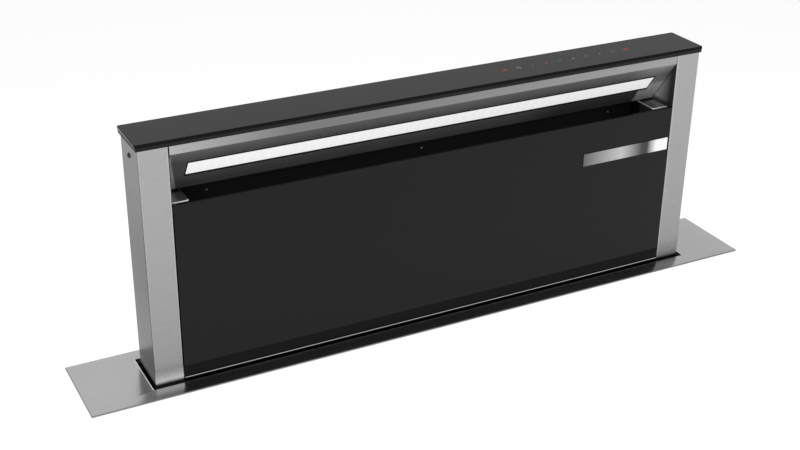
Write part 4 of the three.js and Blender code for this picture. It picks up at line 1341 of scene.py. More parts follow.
@dataclass
class Surround:
    """Counter plate, the rims at its cut-out's ends and the seal in it."""

    corner: float = 1.0 * MM
    edge: float = 0.45 * MM
    lip_rise: float = 0.9 * MM
    lip_width: float = 2.0 * MM
    lip_gap: float = 2.05 * MM
    seal_corner: float = 0.5 * MM
    seal_bevel: float = 0.8 * MM
    cutout_side: float = 4.7 * MM
    cutout_front: float = 6.4 * MM
    cutout_back: float = 7.2 * MM
    rim_radius: float = 0.5 * MM
    rim_overhang: float = 0.3 * MM

    def build(self) -> None:
        """Makes all three, from the outline of the tower and that of the cut-out."""
        low, high = extent("column_left")[0], extent("column_right")[1]
        self.tower = Plan(tuple(low[:2]), tuple(high[:2]))
        self.cutout = Plan(
            (low[0] - self.cutout_side, low[1] - self.cutout_front),
            (high[0] + self.cutout_side, high[1] + self.cutout_back),
        )
        self.plate()
        self.rims()
        self.seal()

    def plate(self) -> None:
        """Plate with a softened edge outside and round the cut-out."""
        outer, foot, top = seen("counter_plate")
        bend = rounded_edge(self.edge)[::-1]
        outside = [(1.0, -by, top - up) for by, up in bend]
        inside = [(0.0, by, top - up) for by, up in bend[::-1]]
        section = [(1.0, 0.0, foot), *outside, *inside, (0.0, 0.0, foot)]
        form = surround(outer, self.cutout, section, self.corner)
        form.piece("plate_sheet", Coat.PLATE, "chassis", ["counter_plate"])

    def rims(self) -> None:
        """Rounded rim along each end of the cut-out, in a pale finish that paints its highlight.
        """
        x, top = self.cutout.high[0] + self.rim_overhang, extent("counter_plate")[1][2]
        ends = (self.cutout.low[1], self.cutout.high[1])
        rim = tube([(x, y, top) for y in ends], self.rim_radius)
        rim.paired().piece("cutout_rims", Coat.RIM, "chassis")

    def seal(self) -> None:
        """Rubber frame whose inner lip rises and rounds over beside the tower."""
        outer, foot, top = seen("wiper_seal")
        angle = np.linspace(0.0, math.pi, 9)
        half, crest = self.lip_width / 2, top + self.lip_rise
        lip = [
            (0.0, half + half * math.cos(a), crest - half + half * math.sin(a)) for a in angle
        ]
        section = [
            (1.0, 0.0, foot),
            (1.0, 0.0, top),
            (0.0, self.lip_width + self.seal_bevel, top),
            *lip,
            (0.0, 0.0, foot + self.seal_bevel),
            (0.0, self.seal_bevel, foot),
        ]
        form = surround(outer, self.tower.grown(self.lip_gap), section, self.seal_corner)
        form.piece("seal_lip", Coat.RUBBER, "chassis", ["wiper_seal"])


@dataclass
class IntakeSlot:
    """Lit slot under the cap: dark liner with rivets, light gasket and column screws.

    Its sizes are from the tower's front face and the plate's top.
    """

    tower_front: float = 47.85 * MM
    plate_top: float = 738.0 * MM
    slope_top: float = 283.5 * MM
    slope_run: float = 42.0 * MM
    slope_drop: float = 60.0 * MM
    fascia_sheet: float = 0.25 * MM
    fascia_sink: float = 0.1 * MM
    fascia_foot: float = 0.5 * MM
    fascia_end: float = 0.1 * MM
    fascia_top: float = 0.2 * MM
    cheek_sheet: float = 0.4 * MM
    cheek_front: float = 0.6 * MM
    cheek_back: float = 3.0 * MM
    cheek_drop: float = 2.5 * MM
    cheek_top: float = 0.3 * MM
    liner_face: float = 58.4 * MM
    liner_low: float = 192.4 * MM
    liner_step: float = 221.0 * MM
    liner_top: float = 292.0 * MM
    liner_half_low: float = 317.9 * MM
    liner_half_high: float = 340.4 * MM
    liner_sheet: float = 0.55 * MM
    rivet_places: tuple[float, ...] = (-281.0 * MM, 0.0, 281.0 * MM)
    rivet_height: float = 207.0 * MM
    rivet_radius: float = 1.4 * MM
    rivet_dome: float = 0.45
    hem_radius: float = 1.0 * MM
    hem_inset: float = 0.35 * MM
    hem_bend: float = 1.2 * MM
    light_from_fascia: float = 22.5 * MM
    light_height: float = 23.9 * MM
    light_half: float = 315.6 * MM
    gasket_width: float = 2.6 * MM
    gasket_end: float = 1.6 * MM
    gasket_lap: float = 1.1 * MM
    gasket_corner: float = 0.6 * MM
    screw_depth: float = 32.0 * MM
    screw_height: float = 278.0 * MM

    def build(self) -> None:
        """Makes the fascia's face, cheeks, liner, rivets, hems, gasket and screws."""
        self.fascia()
        self.cheeks()
        self.liner()
        self.shelf_hems()
        self.gasket()
        self.screws()

    def at(self, x: float, y: float, z: float) -> tuple[float, float, float]:
        """A point given from the tower's front face and the plate's top, in the row frame."""
        return (x, y + self.tower_front, z + self.plate_top)

    def slope(self) -> Matrix:
        """Place of the sloping face: x across, y behind the face, z up along it.

        Returns:
            The matrix from the slope's own coordinates to the row frame.
        """
        angle = math.atan2(self.slope_run, self.slope_drop)
        place = Matrix.Translation(self.at(0.0, 0.0, self.slope_top))
        return place @ Matrix.Rotation(angle, 4, "X")

    def fascia(self) -> None:
        """Brushed face on the strip above the slope."""
        low, high = extent("light_trough")
        foot, end = self.slope_top + self.plate_top + self.fascia_foot, self.fascia_end
        plan = Plan((low[0] + end, foot), (high[0] - end, high[2] - self.fascia_top))
        front, back = low[1] - self.fascia_sheet, low[1] + self.fascia_sink
        face = slab(plan, front, back, 0.2 * MM, 0.1 * MM, Facing.FORWARD)
        face.piece("fascia_face", Coat.FASCIA, "tower")

    def cheeks(self) -> None:
        """Polished lining on the inner side of each column, from the shelf up to the cap."""
        inner = extent("column_right")[0][0]
        low, high = extent("light_trough")
        plan = Plan(
            (low[1] + self.cheek_front, low[2] - self.cheek_drop),
            (high[1] + self.cheek_back, high[2] - self.cheek_top),
        )
        sheet = slab(plan, inner - self.cheek_sheet, inner, 0.3 * MM, 0.1 * MM, Facing.SIDEWAYS)
        sheet.paired().piece("slot_cheeks", Coat.CHEEK, "tower")

    def liner(self) -> None:
        """Dark liner on the rear wall, wider above the shelves, and three domed rivets."""
        back = self.liner_face + self.liner_sheet
        sheets = [
            slab(
                Plan((-half, low), (half, high)), self.liner_face, back, 0.5 * MM, 0.15 * MM,
                Facing.FORWARD,
            )
            for half, low, high in (
                (self.liner_half_low, self.liner_low, self.liner_step),
                (self.liner_half_high, self.liner_step, self.liner_top),
            )
        ]
        whole = Form.together(sheets).moved(self.at(0, 0, 0))
        whole.piece("slot_liner", Coat.LINER, "tower")
        radius, angle = self.rivet_radius, np.linspace(0.0, math.pi / 2, 6)[:-1]
        dome = [(radius * math.cos(a), -radius * self.rivet_dome * math.sin(a)) for a in angle]
        rivet = turned([(radius, 0.1 * MM), *dome], 20, Facing.FORWARD)
        places = [self.at(x, self.liner_face, self.rivet_height) for x in self.rivet_places]
        rivet.spread(places).piece("liner_rivets", Coat.TRIM, "tower")

    def shelf_hems(self) -> None:
        """Rolled hem along the front and inner edge of each end shelf, in a pale finish that
        paints its highlight.
        """
        low, high = extent("end_shelf_right")
        top, end = high[2] - 0.1 * MM, high[0] - 0.3 * MM
        front, inner = low[1] + self.hem_inset, low[0] + self.hem_inset
        corners = [(end, front, top), (inner, front, top), (inner, high[1], top)]
        hem = tube(bent(corners, self.hem_bend), self.hem_radius)
        hem.paired().piece("shelf_hems", Coat.HEM, "tower")

    def gasket(self) -> None:
        """Thin dark rubber frame in the gap between the opal bar and the window in the slope; its
        black also stands for the shadow in that gap.
        """
        low, high = -self.light_from_fascia - self.light_height, -self.light_from_fascia
        half, width, end = self.light_half, self.gasket_width, self.gasket_end
        outer = Plan((-half - end, low - width), (half + end, high + width))
        inner = Plan((-half, low + self.gasket_lap), (half, high))
        back, side, face, bevel = in_mm(0.02, -0.2, -0.3, 0.15)
        section = [
            (0.0, 0.0, back),
            (0.0, 0.0, side),
            (0.0, bevel, face),
            (1.0, -bevel, face),
            (1.0, 0.0, side),
            (1.0, 0.0, back),
        ]
        form = surround(outer, inner, section, self.gasket_corner, Facing.FORWARD)
        form.moved(self.slope()).piece("light_gasket", Coat.RUBBER, "tower")

    def screws(self) -> None:
        """Pan screw on each column's outer side."""
        place = self.at(extent("column_right")[1][0], self.screw_depth, self.screw_height)
        screw = pan_screw(Screw.COLUMN, Facing.SIDEWAYS).moved(place)
        screw.paired().piece("column_screws", Coat.DARK_SCREW, "tower")


@dataclass
class DataPlate:
    """A bare data plate: sheet with rounded corners, four rivets and thin ruled lines."""

    width: float = 74.0 * MM
    height: float = 44.0 * MM
    sheet: float = 0.5 * MM
    corner: float = 3.0 * MM
    rivet_inset: float = 4.0 * MM
    lines: int = 5
    line_width: float = 0.9 * MM
    line_inset: float = 8.0 * MM
    line_rise: float = 0.04 * MM

    def build(self, name: str, place: Sequence[float], to_back: bool = False) -> None:
        """Makes the plate on a wall of the chassis.

        Args:
            name: start of both pieces' names.
            place: the plate's middle, on the wall's face.
            to_back: the wall faces +y and not -y.
        """
        x, z, face = self.width / 2, self.height / 2, Facing.FORWARD
        sheet = slab(
            Plan((-x, -z), (x, z)), -0.05 * MM, self.sheet, self.corner, 0.12 * MM, face
        )
        rivet = turned(in_mm((1.5, 0.0), (1.4, 0.5), (0.7, 0.9)), 16, face)
        x, z = x - self.rivet_inset, z - self.rivet_inset
        plate = Form.together([sheet, rivet.spread(grid((-x, x), self.sheet, (-z, z)))])
        reach, thin = self.width / 2 - self.line_inset, self.line_width / 2
        low, high = self.sheet - 0.02 * MM, self.sheet + self.line_rise
        bars = [
            Plan((-reach, middle - thin), (reach, middle + thin))
            for middle in np.linspace(-0.3, 0.3, self.lines) * self.height
        ]
        lines = Form.together(slab(bar, low, high, 0.1 * MM, 0.01 * MM, face) for bar in bars)
        for form, coat, part in ((plate, Coat.TRIM, "sheet"), (lines, Coat.GREY_BAR, "lines")):
            form.spread([place], not to_back).piece(f"{name}_{part}", coat, "chassis")


@dataclass
class Housing:
    """What the galvanised housing carries: screws, weld marks, knock-outs, clamp threads."""

    half: float = 0.421
    sheet: float = 2.0 * MM
    screw_half: float = 0.4
    screw_edge: float = 9.0 * MM
    end_edge: float = 14.0 * MM
    blower_half: float = 0.24
    weld_radius: float = 3.2 * MM
    weld_rise: float = 0.35 * MM
    weld_edge: float = 11.0 * MM
    weld_ends: tuple[float, float] = (0.05, 0.04)
    weld_pitch: float = 0.06
    knockout: float = 11.0 * MM
    knockout_heights: tuple[float, float] = (0.1, 0.145)
    clamp_depth: float = 10.0 * MM
    clamp_arm: float = 39.0 * MM
    clamp_neck: float = 3.2 * MM
    thread_radius: float = 4.6 * MM
    thread_depth: float = 0.6 * MM
    thread_pitch: float = 1.25 * MM
    plate_place: tuple[float, float] = (0.25, 0.45)

    def build(self) -> None:
        """Makes all of it, and a data plate on the rear wall."""
        low, high = extent("chassis_shell")
        front = extent("chassis_floor")[0][1] - self.sheet
        self.low = np.array([-self.half, front, low[2]])
        self.high = np.array([self.half, high[1] - self.sheet, high[2]])
        self.screws()
        self.welds()
        self.knockouts()
        self.clamp_threads()
        x, z = self.plate_place
        DataPlate().build("rear_plate", (x, self.high[1], z), to_back=True)

    def screws(self) -> None:
        """Rows of pan screws along the top and foot of the front, rear and end walls."""
        across = pan_screw(Screw.HOUSING, Facing.FORWARD)
        along = pan_screw(Screw.HOUSING, Facing.SIDEWAYS)
        heights = (self.high[2] - self.screw_edge, self.low[2] + self.screw_edge)
        places = np.linspace(-self.screw_half, self.screw_half, 9)
        front = [
            (x, y, z) for x, y, z in grid(places, self.low[1], heights)
            if z == heights[0] or abs(x) > self.blower_half
        ]
        depths = np.linspace(self.low[1] + self.end_edge, self.high[1] - self.end_edge, 3)
        end = along.spread(grid(self.high[0], depths, heights))
        rear = across.spread(grid(places, self.high[1], heights))
        forms = [across.spread(front, True), rear, end, end.mirrored()]
        Form.together(forms).piece("housing_screws", Coat.MILLED, "chassis")

    def welds(self) -> None:
        """Shallow spot-weld marks down both edges of the front and rear walls."""
        section = ((1.0, 0.05 * MM), (0.8, self.weld_rise), (0.55, 0.6 * self.weld_rise))
        section = ((1.0, -0.1 * MM), *section, (0.2, 0.4 * self.weld_rise))
        profile = [(self.weld_radius * share, height) for share, height in section]
        mark = turned(profile, 20, Facing.FORWARD)
        first, last = self.weld_ends
        heights = np.arange(self.low[2] + first, self.high[2] - last, self.weld_pitch)
        edge = self.high[0] - self.weld_edge
        rear, front = (grid((-edge, edge), y, heights) for y in (self.high[1], self.low[1]))
        forms = [mark.spread(rear), mark.spread(front, True)]
        Form.together(forms).piece("weld_marks", Coat.ZINC, "chassis")

    def knockouts(self) -> None:
        """Two cable knock-outs low on each end wall, each a disc inside a sheared ring."""
        radius = self.knockout
        inside, rise = radius - 0.8 * MM, 0.5 * MM
        ring = [(radius, 0.0), (radius, rise), (inside, rise), (inside, 0.0)]
        disc = [(radius - 2.2 * MM, -0.1 * MM), (radius - 2.4 * MM, 0.5 * MM), (1 * MM, 0.6 * MM)]
        one = Form.together(
            [turned(ring, 32, Facing.SIDEWAYS, around=True), turned(disc, 32, Facing.SIDEWAYS)]
        )
        middle = (self.low[1] + self.high[1]) / 2
        both = one.spread(grid(self.high[0], middle, self.knockout_heights))
        both.paired().piece("knockouts", Coat.ZINC, "chassis")

    def clamp_threads(self) -> None:
        """Thread on each clamp's screw and a rubber face on its pad."""
        low, high = extent("counter_clamp_right")
        place, top = (high[0] - self.clamp_depth, (low[1] + high[1]) / 2, 0.0), high[2]
        foot, neck = top - self.clamp_arm, top - self.clamp_neck
        bar = ridged(self.thread_radius, self.thread_depth, self.thread_pitch, foot, neck)
        pad = turned(in_mm((9.4, -1.6), (9.4, -0.3), (9.0, 0.0)) + (0.0, top))
        for form, coat, name in ((bar, Coat.MILLED, "threads"), (pad, Coat.RUBBER, "pads")):
            form.moved(place).paired().piece(f"clamp_{name}", coat, "chassis")


@dataclass
class Feet:
    """Four levelling feet with smooth pads and threaded stems."""

    pad_radius: float = 20.0 * MM
    pad_height: float = 6.0 * MM
    stem_radius: float = 5.0 * MM
    nut_radius: float = 9.0 * MM
    nut_low: float = 17.0 * MM
    nut_height: float = 5.0 * MM
    thread: float = 0.6 * MM
    pitch: float = 1.5 * MM

    def build(self) -> None:
        """Makes the pads in plastic, and the stems and nuts in steel."""
        places = []
        for low, high in map(extent, FEET):
            places.append(((low[0] + high[0]) / 2, (low[1] + high[1]) / 2, low[2]))
        edge, rim = in_mm((-1.2, 0.0), (-0.3, 0.3), (0.0, 1.0)), in_mm((0.0, -2.6), (-0.5, -1.9))
        neck = in_mm((2.0, 0.6), (0.0, 1.4)) + (self.stem_radius, self.pad_height)
        outer = (self.pad_radius, self.pad_height)
        shoulder = in_mm((-3.0, 0.0)) + outer
        profile = np.concatenate([edge + (self.pad_radius, 0.0), rim + outer, shoulder, neck])
        pad = turned(profile, 48).spread(places)
        pad.piece("foot_pads", Coat.PLASTIC, "chassis", FEET)
        top = extent(FEET[0])[1][2]
        stem = ridged(self.stem_radius, self.thread, self.pitch, self.pad_height, top)
        steel = Form.together([stem, self._nut()]).spread(places)
        steel.piece("foot_stems", Coat.MILLED, "chassis")

    def _nut(self) -> Form:
        """Hexagon nut, its corners cut off round at both ends.

        Returns:
            The closed form, at its height on the stem.
        """
        flat = self.nut_radius * math.cos(math.pi / 6)
        reach = hexagon(flat, 36)
        cut = np.minimum(reach, flat * 1.02)
        heights = self.nut_low + self.nut_height * np.array([0.0, 0.12, 0.88, 1.0])
        return round_form(np.array([cut, reach, reach, cut]), heights, Facing.UP)


@dataclass
class Blower:
    """What the blower box carries: flanges, screws, a pressed ring, collar sleeve, plate."""

    flange: float = 12.0 * MM
    flange_sheet: float = 1.5 * MM
    flange_foot: float = 15.0 * MM
    flange_corner: float = 2.0 * MM
    flange_edge: float = 0.3 * MM
    screw_end: float = 0.03
    screw_foot: float = 0.05
    inset: float = 11.0 * MM
    ring_radius: float = 74.0 * MM
    ring_width: float = 8.0 * MM
    ring_rise: float = 3.0 * MM
    bolt_circle: float = 56.0 * MM
    louvre_size: tuple[float, float, float] = (64.0 * MM, 5.4 * MM, 3.0 * MM)
    louvre_drop: float = 12.0 * MM
    louvre_pitch: float = 8.0 * MM
    collar_radius: float = 75.0 * MM
    collar_wall: float = 1.2 * MM
    collar_root: float = 1.6 * MM
    collar_flange: float = 1.5 * MM
    collar_screws: float = 70.0 * MM
    sleeve: float = 0.5 * MM
    bead: float = 1.3 * MM
    bead_width: float = 5.0 * MM
    bead_places: tuple[float, float] = (8.0 * MM, 26.0 * MM)
    plate_place: tuple[float, float] = (-0.12, 0.335)

    def build(self) -> None:
        """Makes all of it."""
        self.box = extent("blower_box")
        self.face = extent("blower_cover")[0][1]
        low, high = extent("blower_motor")
        self.centre = ((low[0] + high[0]) / 2, (low[2] + high[2]) / 2)
        self.flanges()
        self.cover()
        self.collar()
        x, z = self.plate_place
        DataPlate().build("blower_plate", (x, self.face, z))

    def flanges(self) -> None:
        """Folded flanges that hold the box to the housing's front wall, with their screws."""
        low, high = self.box
        wall, foot = high[1] - self.flange_sheet, low[2] + self.flange_foot
        plans = [
            Plan((low[0], high[2]), (high[0], high[2] + self.flange)),
            Plan((low[0] - self.flange, foot), (low[0], high[2])),
            Plan((high[0], foot), (high[0] + self.flange, high[2])),
        ]
        form = (wall, high[1], self.flange_corner, self.flange_edge, Facing.FORWARD)
        sheets = [slab(plan, *form) for plan in plans]
        Form.together(sheets).piece("blower_flanges", Coat.ZINC, "chassis")
        half, end = self.flange / 2, self.screw_end
        places = grid(np.linspace(low[0] + end, high[0] - end, 5), wall, high[2] + half)
        heights = np.linspace(low[2] + self.screw_foot, high[2] - end, 4)
        places += grid((low[0] - half, high[0] + half), wall, heights)
        screw = pan_screw(Screw.FLANGE, Facing.FORWARD)
        screw.spread(places, True).piece("flange_screws", Coat.MILLED, "chassis")

    def cover(self) -> None:
        """Screws round the cover, and the ring, louvres and four bolts at the motor."""
        (left, _, foot), (right, _, top) = self.box[0] + self.inset, self.box[1] - self.inset
        places = grid(np.linspace(left, right, 6), self.face, (foot, top))
        places += grid((left, right), self.face, np.linspace(foot, top, 5)[1:-1])
        x, z = self.centre
        angles = np.radians([45, 135, 225, 315])
        across, upward = self.bolt_circle * np.cos(angles), self.bolt_circle * np.sin(angles)
        bolts = [(x + i, self.face, z + j) for i, j in zip(across, upward)]
        screw = pan_screw(Screw.COVER, Facing.FORWARD).spread(places, True)
        bolt = pan_screw(Screw.MOTOR, Facing.FORWARD).spread(bolts, True)
        Form.together([screw, bolt]).piece("cover_screws", Coat.MILLED, "chassis")
        inner, width, t = self.ring_radius, self.ring_width, np.linspace(0.0, 1.0, 9)
        arch = np.stack([inner + width * t, self.ring_rise * np.sin(math.pi * t)], axis=1)
        section = [*arch, (inner + width / 2, -0.2 * MM)]
        ring = turned(section, 64, Facing.FORWARD, around=True).spread([(x, self.face, z)], True)
        slots = grid(x, self.face, z - self.louvre_drop + self.louvre_pitch * np.arange(5))
        hood = louvre(*self.louvre_size).spread(slots)
        Form.together([ring, hood]).piece("cover_pressings", Coat.ZINC, "chassis")

    def collar(self) -> None:
        """Smooth sleeve with two beads round the duct collar, and the flange's screws."""
        low, high = extent("outlet_collar")
        depth, height = (low[1] + high[1]) / 2, (low[2] + high[2]) / 2
        outside, inside = self.collar_radius + self.sleeve, self.collar_radius - self.collar_wall
        end, root = low[0], high[0] - self.collar_root
        profile = [(inside, end), (outside, end)]
        for middle in self.bead_places:
            profile += [
                (
                    outside + self.bead * math.sin(math.pi * t),
                    end + middle + (t - 0.5) * self.bead_width,
                )
                for t in np.linspace(0.0, 1.0, 9)
            ]
        profile += [(outside, root), (inside, root)]
        sleeve = turned(profile, 96, Facing.SIDEWAYS, around=True).moved((0.0, depth, height))
        sleeve.piece("collar_sleeve", Coat.PLASTIC, "chassis")
        reach = self.collar_screws * np.array([-1, 1])
        places = grid(high[0] - self.collar_flange, depth + reach, height + reach)
        screw = pan_screw(Screw.COLLAR, Facing.SIDEWAYS)
        screw.spread(places, True).piece("collar_screws", Coat.MILLED, "chassis")


@dataclass
class Wiring:
    """Electronics box's lid screws, louvres and data plate, its two cables, their glands.

    The cables' routes are in millimetres from the walls and the gland that they run to.
    """

    cable: float = 3.4 * MM
    thin_cable: float = 2.6 * MM
    gland: float = 8.0 * MM
    screw_inset: float = 9.0 * MM
    louvre_size: tuple[float, float, float] = (40.0 * MM, 6.0 * MM, 2.2 * MM)
    louvre_end: float = 34.0 * MM
    louvre_inset: float = 22.0 * MM
    plate_start: float = 48.0 * MM
    plate_size: tuple[float, float] = (60.0 * MM, 40.0 * MM)

    def build(self) -> None:
        """Makes all of it."""
        self.low, self.high = extent("electronics_box")
        self.lid()
        self.cables()

    def lid(self) -> None:
        """Four lid screws, six louvres and a bare data plate."""
        (left, face, foot), (right, _, top) = self.low, self.high
        inset, far = self.screw_inset, self.louvre_inset
        places = grid((left + inset, right - inset), face, (foot + inset, top - inset))
        screw = pan_screw(Screw.LID, Facing.FORWARD)
        screw.spread(places, True).piece("lid_screws", Coat.MILLED, "chassis")
        rows = grid(right - self.louvre_end, face, np.linspace(foot + far, top - far, 6))
        louvre(*self.louvre_size).spread(rows).piece("lid_louvres", Coat.ZINC, "chassis")
        place = (left + self.plate_start, face, (foot + top) / 2)
        DataPlate(*self.plate_size).build("lid_plate", place)

    def _gland(self, facing: Facing) -> Form:
        """Cable gland: a hexagon foot and a round dome.

        Args:
            facing: the axes; the dome stands towards the third one's high end.

        Returns:
            Both as one form, seated at height 0.
        """
        g = self.gland
        foot = turned([(g * 1.15, 0.0), (g * 1.15, 4 * MM)], 6, facing)
        dome = [(g, 3.9 * MM), (g, 9 * MM), (0.86 * g, 11.5 * MM), (0.6 * g, 12.5 * MM)]
        return Form.together([foot, turned(dome, 28, facing)])

    def cables(self) -> None:
        """One cable from the blower to the box, and one from the box into the housing."""
        low, high = self.low, self.high
        wall = extent("blower_box")[1][0]
        front = extent("chassis_floor")[0][1] - 2 * MM
        y, z = (low[1] + high[1]) / 2 + 4 * MM, high[2] - 30 * MM
        start = (wall - 2 * MM, y - 50 * MM, z - 60 * MM)
        middle = wall + 11 * MM
        end = (low[0] + 4 * MM, y, z + 1 * MM)
        motor = bent([start, (middle, *start[1:]), (middle, y, z), end], 9 * MM)
        foot = np.array([low[0] + 40 * MM, y, low[2]])
        below = in_mm((30, -4, -90), (31, -4, -150), (32, 2, -170)) + (foot[0], front, foot[2])
        lift = bent([*(in_mm((0, 0, 4), (1, 0, -40)) + foot), *below], 14 * MM)
        cords = Form.together([tube(motor, self.cable, 16), tube(lift, self.thin_cable, 16)])
        cords.piece("internal_cables", Coat.RUBBER, "chassis")
        section = in_mm((2.4, 0.0), (2.4, 2.0), (6.0, 1.4), (7.0, 0.0))
        grommet = turned(section, 28, Facing.FORWARD, around=True)
        side = self._gland(Facing.SIDEWAYS)
        glands = [
            side.moved((wall, *start[1:])),
            side.spread([(low[0], y, z)], True),
            self._gland(Facing.UP).moved(Matrix.Rotation(math.pi, 4, "X")).moved(foot),
            grommet.spread([(foot[0] + 32 * MM, front, foot[2] - 168 * MM)], True),
        ]
        Form.together(glands).piece("cable_glands", Coat.PLASTIC, "chassis")


@dataclass
class TowerBack:
    """Screws on the tower's rear panel, the filters' rivets and the ribs of their latches."""

    screw_edge: float = 9.0 * MM
    screw_span: tuple[float, float] = (0.765, 0.99)
    lean: float = 0.196899
    foot: tuple[float, float, float] = (0.0, 59.35 * MM, 741.6 * MM)
    filter_length: float = 187.6 * MM
    filter_ends: tuple[float, float] = (7.5 * MM, 330.3 * MM)
    rivet_edge: float = 6.0 * MM
    latch_middle: float = 168.9 * MM
    rib_radius: float = 0.7 * MM
    rib_face: float = -2.9 * MM
    rib_half: float = 10.0 * MM
    rib_drops: tuple[float, ...] = (5.0 * MM, 8.0 * MM, 11.0 * MM)

    def build(self) -> None:
        """Makes all of it."""
        self.rear_screws()
        self.filter_rivets()
        self.latch_ribs()

    def rear_screws(self) -> None:
        """Screws down both edges of the rear panel and along its top."""
        high, face = extent("rear_panel")[1], extent("column_right")[1][1]
        edge, top = high[0] - self.screw_edge, high[2] - self.screw_edge
        places = grid((-edge, edge), face, np.linspace(*self.screw_span, 4))
        places += grid(np.linspace(-edge, edge, 7), face, top)
        screw = pan_screw(Screw.REAR_PANEL, Facing.FORWARD)
        screw.spread(places).piece("rear_panel_screws", Coat.MILLED, "tower")

    def rack(self) -> Matrix:
        """Place of the leaning filters: x across, z up along them."""
        return Matrix.Translation(self.foot) @ Matrix.Rotation(-self.lean, 4, "X")

    def filter_rivets(self) -> None:
        """Domed rivets at the corners and middles of both filter frames."""
        dome = in_mm((2.4, -0.1), (2.3, 0.4), (1.6, 0.8), (0.6, 1.0))
        length, edge = self.filter_length, self.rivet_edge
        places = grid(self.filter_ends, 0.0, (edge, length / 2, length - edge))
        one = turned(dome, 20, Facing.FORWARD).spread(places, True).moved(self.rack())
        one.paired().piece("filter_rivets", Coat.FILTER, "tower")

    def latch_ribs(self) -> None:
        """Three finger ribs on each filter latch."""
        xs = self.latch_middle + self.rib_half * np.array([-1, 0, 1])
        bars = [
            tube(grid(xs, self.rib_face, self.filter_length - drop), self.rib_radius)
            for drop in self.rib_drops
        ]
        ribs = Form.together(bars).moved(self.rack())
        ribs.piece("latch_ribs_right", Coat.PLASTIC, "latch_right")
        ribs.mirrored().piece("latch_ribs_left", Coat.PLASTIC, "latch_left")


# ------------------------------------------------------------------ stage, light, camera


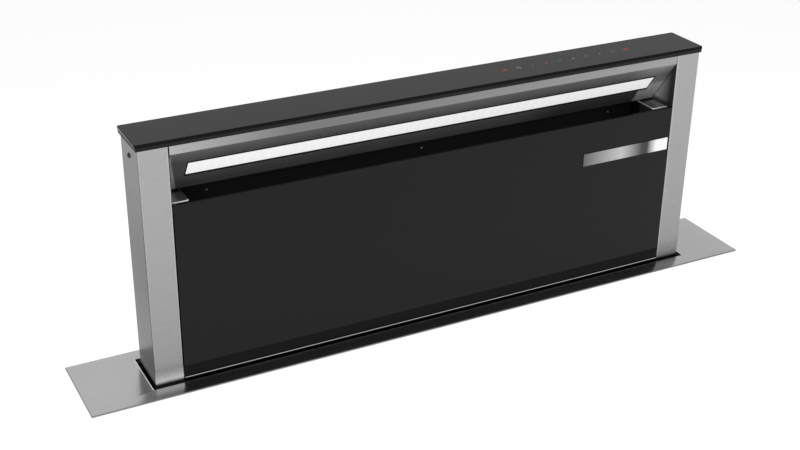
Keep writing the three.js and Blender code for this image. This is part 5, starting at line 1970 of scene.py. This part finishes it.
@dataclass
class Studio:
    """Worktop with its cut-out, floor, lamps, white surroundings and the camera."""

    counter_top: float = 735.7 * MM
    counter_thickness: float = 29.8 * MM
    counter_plan: Plan = Plan((-0.68, -0.42), (0.68, 0.62))
    cutout: Plan = Plan((-0.4215, 0.0263), (0.4215, 0.1292))
    floor_half: float = 6.0
    show_through: float = 0.8
    white_level: float = 1.04
    fill_level: float = 0.62
    lamp_aim: tuple[float, float, float] = (0.0, 0.05, 0.85)
    camera_place: tuple[float, float, float] = (-0.7317, -1.22745, 1.5903)
    camera_azimuth: float = -27.791
    camera_elevation: float = 26.315
    camera_roll: float = 0.743
    camera_lens: float = 59.88
    camera_sensor: float = 36.0

    def build(self) -> None:
        """Makes all of it."""
        self.surfaces()
        self.surroundings()
        self.lamps()
        self.camera()
        bpy.context.scene.view_settings.view_transform = "Standard"

    def _seen(self, board: Board) -> Wave:
        """Which rays look at a surface directly, in metal or through glass.

        Args:
            board: the material or world that it is for.

        Returns:
            1 for such a ray, else 0.
        """
        names = ("Is Camera Ray", "Is Glossy Ray", "Is Transmission Ray")
        camera, glossy, through = (
            board.node("ShaderNodeLightPath", output=name) for name in names
        )
        return (camera + glossy + through).clamped()

    def _pale(self) -> bpy.types.Material:
        """White painted surface that still keeps the object's shadow.

        Returns:
            The material.
        """
        made = bpy.data.materials.new("pale_stage")
        board = Board(made)
        colour = board.between(grey(0.86), grey(0.9), board.noise(40.0, 3.0))
        paint = board.node("ShaderNodeBsdfDiffuse", None, {"Color": colour})
        white = board.node("ShaderNodeEmission", None, {"Strength": self.white_level})
        inputs = {"Fac": self._seen(board) * self.show_through, 1: paint, 2: white}
        board.finish(board.node("ShaderNodeMixShader", None, inputs))
        return made

    def _stage(self, form: Form, name: str, pale: bpy.types.Material) -> None:
        """Adds one form of the stage.

        Args:
            form: its surface.
            name: of the object.
            pale: its material.
        """
        mesh = bpy.data.meshes.new(name)
        faces = [face for group in form.faces for face in group.tolist()]
        mesh.from_pydata(form.points.tolist(), [], faces)
        mesh.materials.append(pale)
        made = bpy.data.objects.new(name, mesh)
        bpy.context.scene.collection.objects.link(made)

    def surfaces(self) -> None:
        """Floor, and a worktop with the housing's cut-out."""
        pale, half = self._pale(), self.floor_half
        floor = slab(Plan((-half, -half), (half, half)), -0.02, 0.0, 0.01, 0.001)
        self._stage(floor, "floor", pale)
        top, under = self.counter_top, self.counter_top - self.counter_thickness
        section = [(1.0, 0.0, under), (1.0, 0.0, top), (0.0, 0.0, top), (0.0, 0.0, under)]
        worktop = surround(self.counter_plan, self.cutout, section, 1.0 * MM)
        self._stage(worktop, "worktop", pale)

    def surroundings(self) -> None:
        """World: white where it is seen, a lower even fill where it lights."""
        world = bpy.data.worlds.new("surroundings")
        bpy.context.scene.world = world
        board = Board(world)
        level = self._seen(board) * (1.0 - self.fill_level) + self.fill_level
        inputs = {"Color": (*grey(1.0), 1.0), "Strength": level}
        board.finish(board.node("ShaderNodeBackground", None, inputs))

    def lamps(self) -> None:
        """Soft square lamps: key from the front left, fill from the right, and a top lamp."""
        for name, place, size, power in (
            ("key", (-2.2, -2.4, 2.6), 2.0, 70.0),
            ("fill", (2.6, -1.4, 1.8), 2.0, 40.0),
            ("top", (0.2, 0.4, 3.4), 2.4, 60.0),
        ):
            data = bpy.data.lights.new(name, "AREA")
            data.size = size
            data.energy = power
            made = bpy.data.objects.new(name, data)
            made.location = place
            ahead = Vector(self.lamp_aim) - Vector(place)
            made.rotation_euler = ahead.to_track_quat("-Z", "Y").to_euler()
            made.visible_glossy = False
            bpy.context.scene.collection.objects.link(made)

    def camera(self) -> None:
        """The camera at the place, turn and lens worked out from the photograph."""
        turn, lift = math.radians(self.camera_azimuth), math.radians(self.camera_elevation)
        roll = math.radians(self.camera_roll)
        back = Vector(
            (math.sin(turn) * math.cos(lift), -math.cos(turn) * math.cos(lift), math.sin(lift))
        )
        right = (-back).cross(Vector((0, 0, 1))).normalized()
        up = back.cross(right)
        across = right * math.cos(roll) + up * math.sin(roll)
        upward = up * math.cos(roll) - right * math.sin(roll)
        data = bpy.data.cameras.new("camera")
        data.lens, data.sensor_width = self.camera_lens, self.camera_sensor
        data.clip_start, data.clip_end = 0.05, 50.0
        made = bpy.data.objects.new("camera", data)
        made.matrix_world = Matrix.Translation(self.camera_place) @ Matrix(
            (across, upward, back)
        ).transposed().to_4x4()
        bpy.context.scene.collection.objects.link(made)
        bpy.context.scene.camera = made


SUB_ASSEMBLIES = (
    GlassWork, Surround, IntakeSlot, Housing, Feet, Blower, Wiring, TowerBack, Studio
)


def main() -> None:
    """Builds every sub-assembly in order."""
    logging.basicConfig(level=logging.INFO, format="%(name)s: %(message)s")
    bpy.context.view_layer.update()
    dress_nodes()
    for sub_assembly in SUB_ASSEMBLIES:
        sub_assembly().build()


if __name__ == "__main__":
    main()
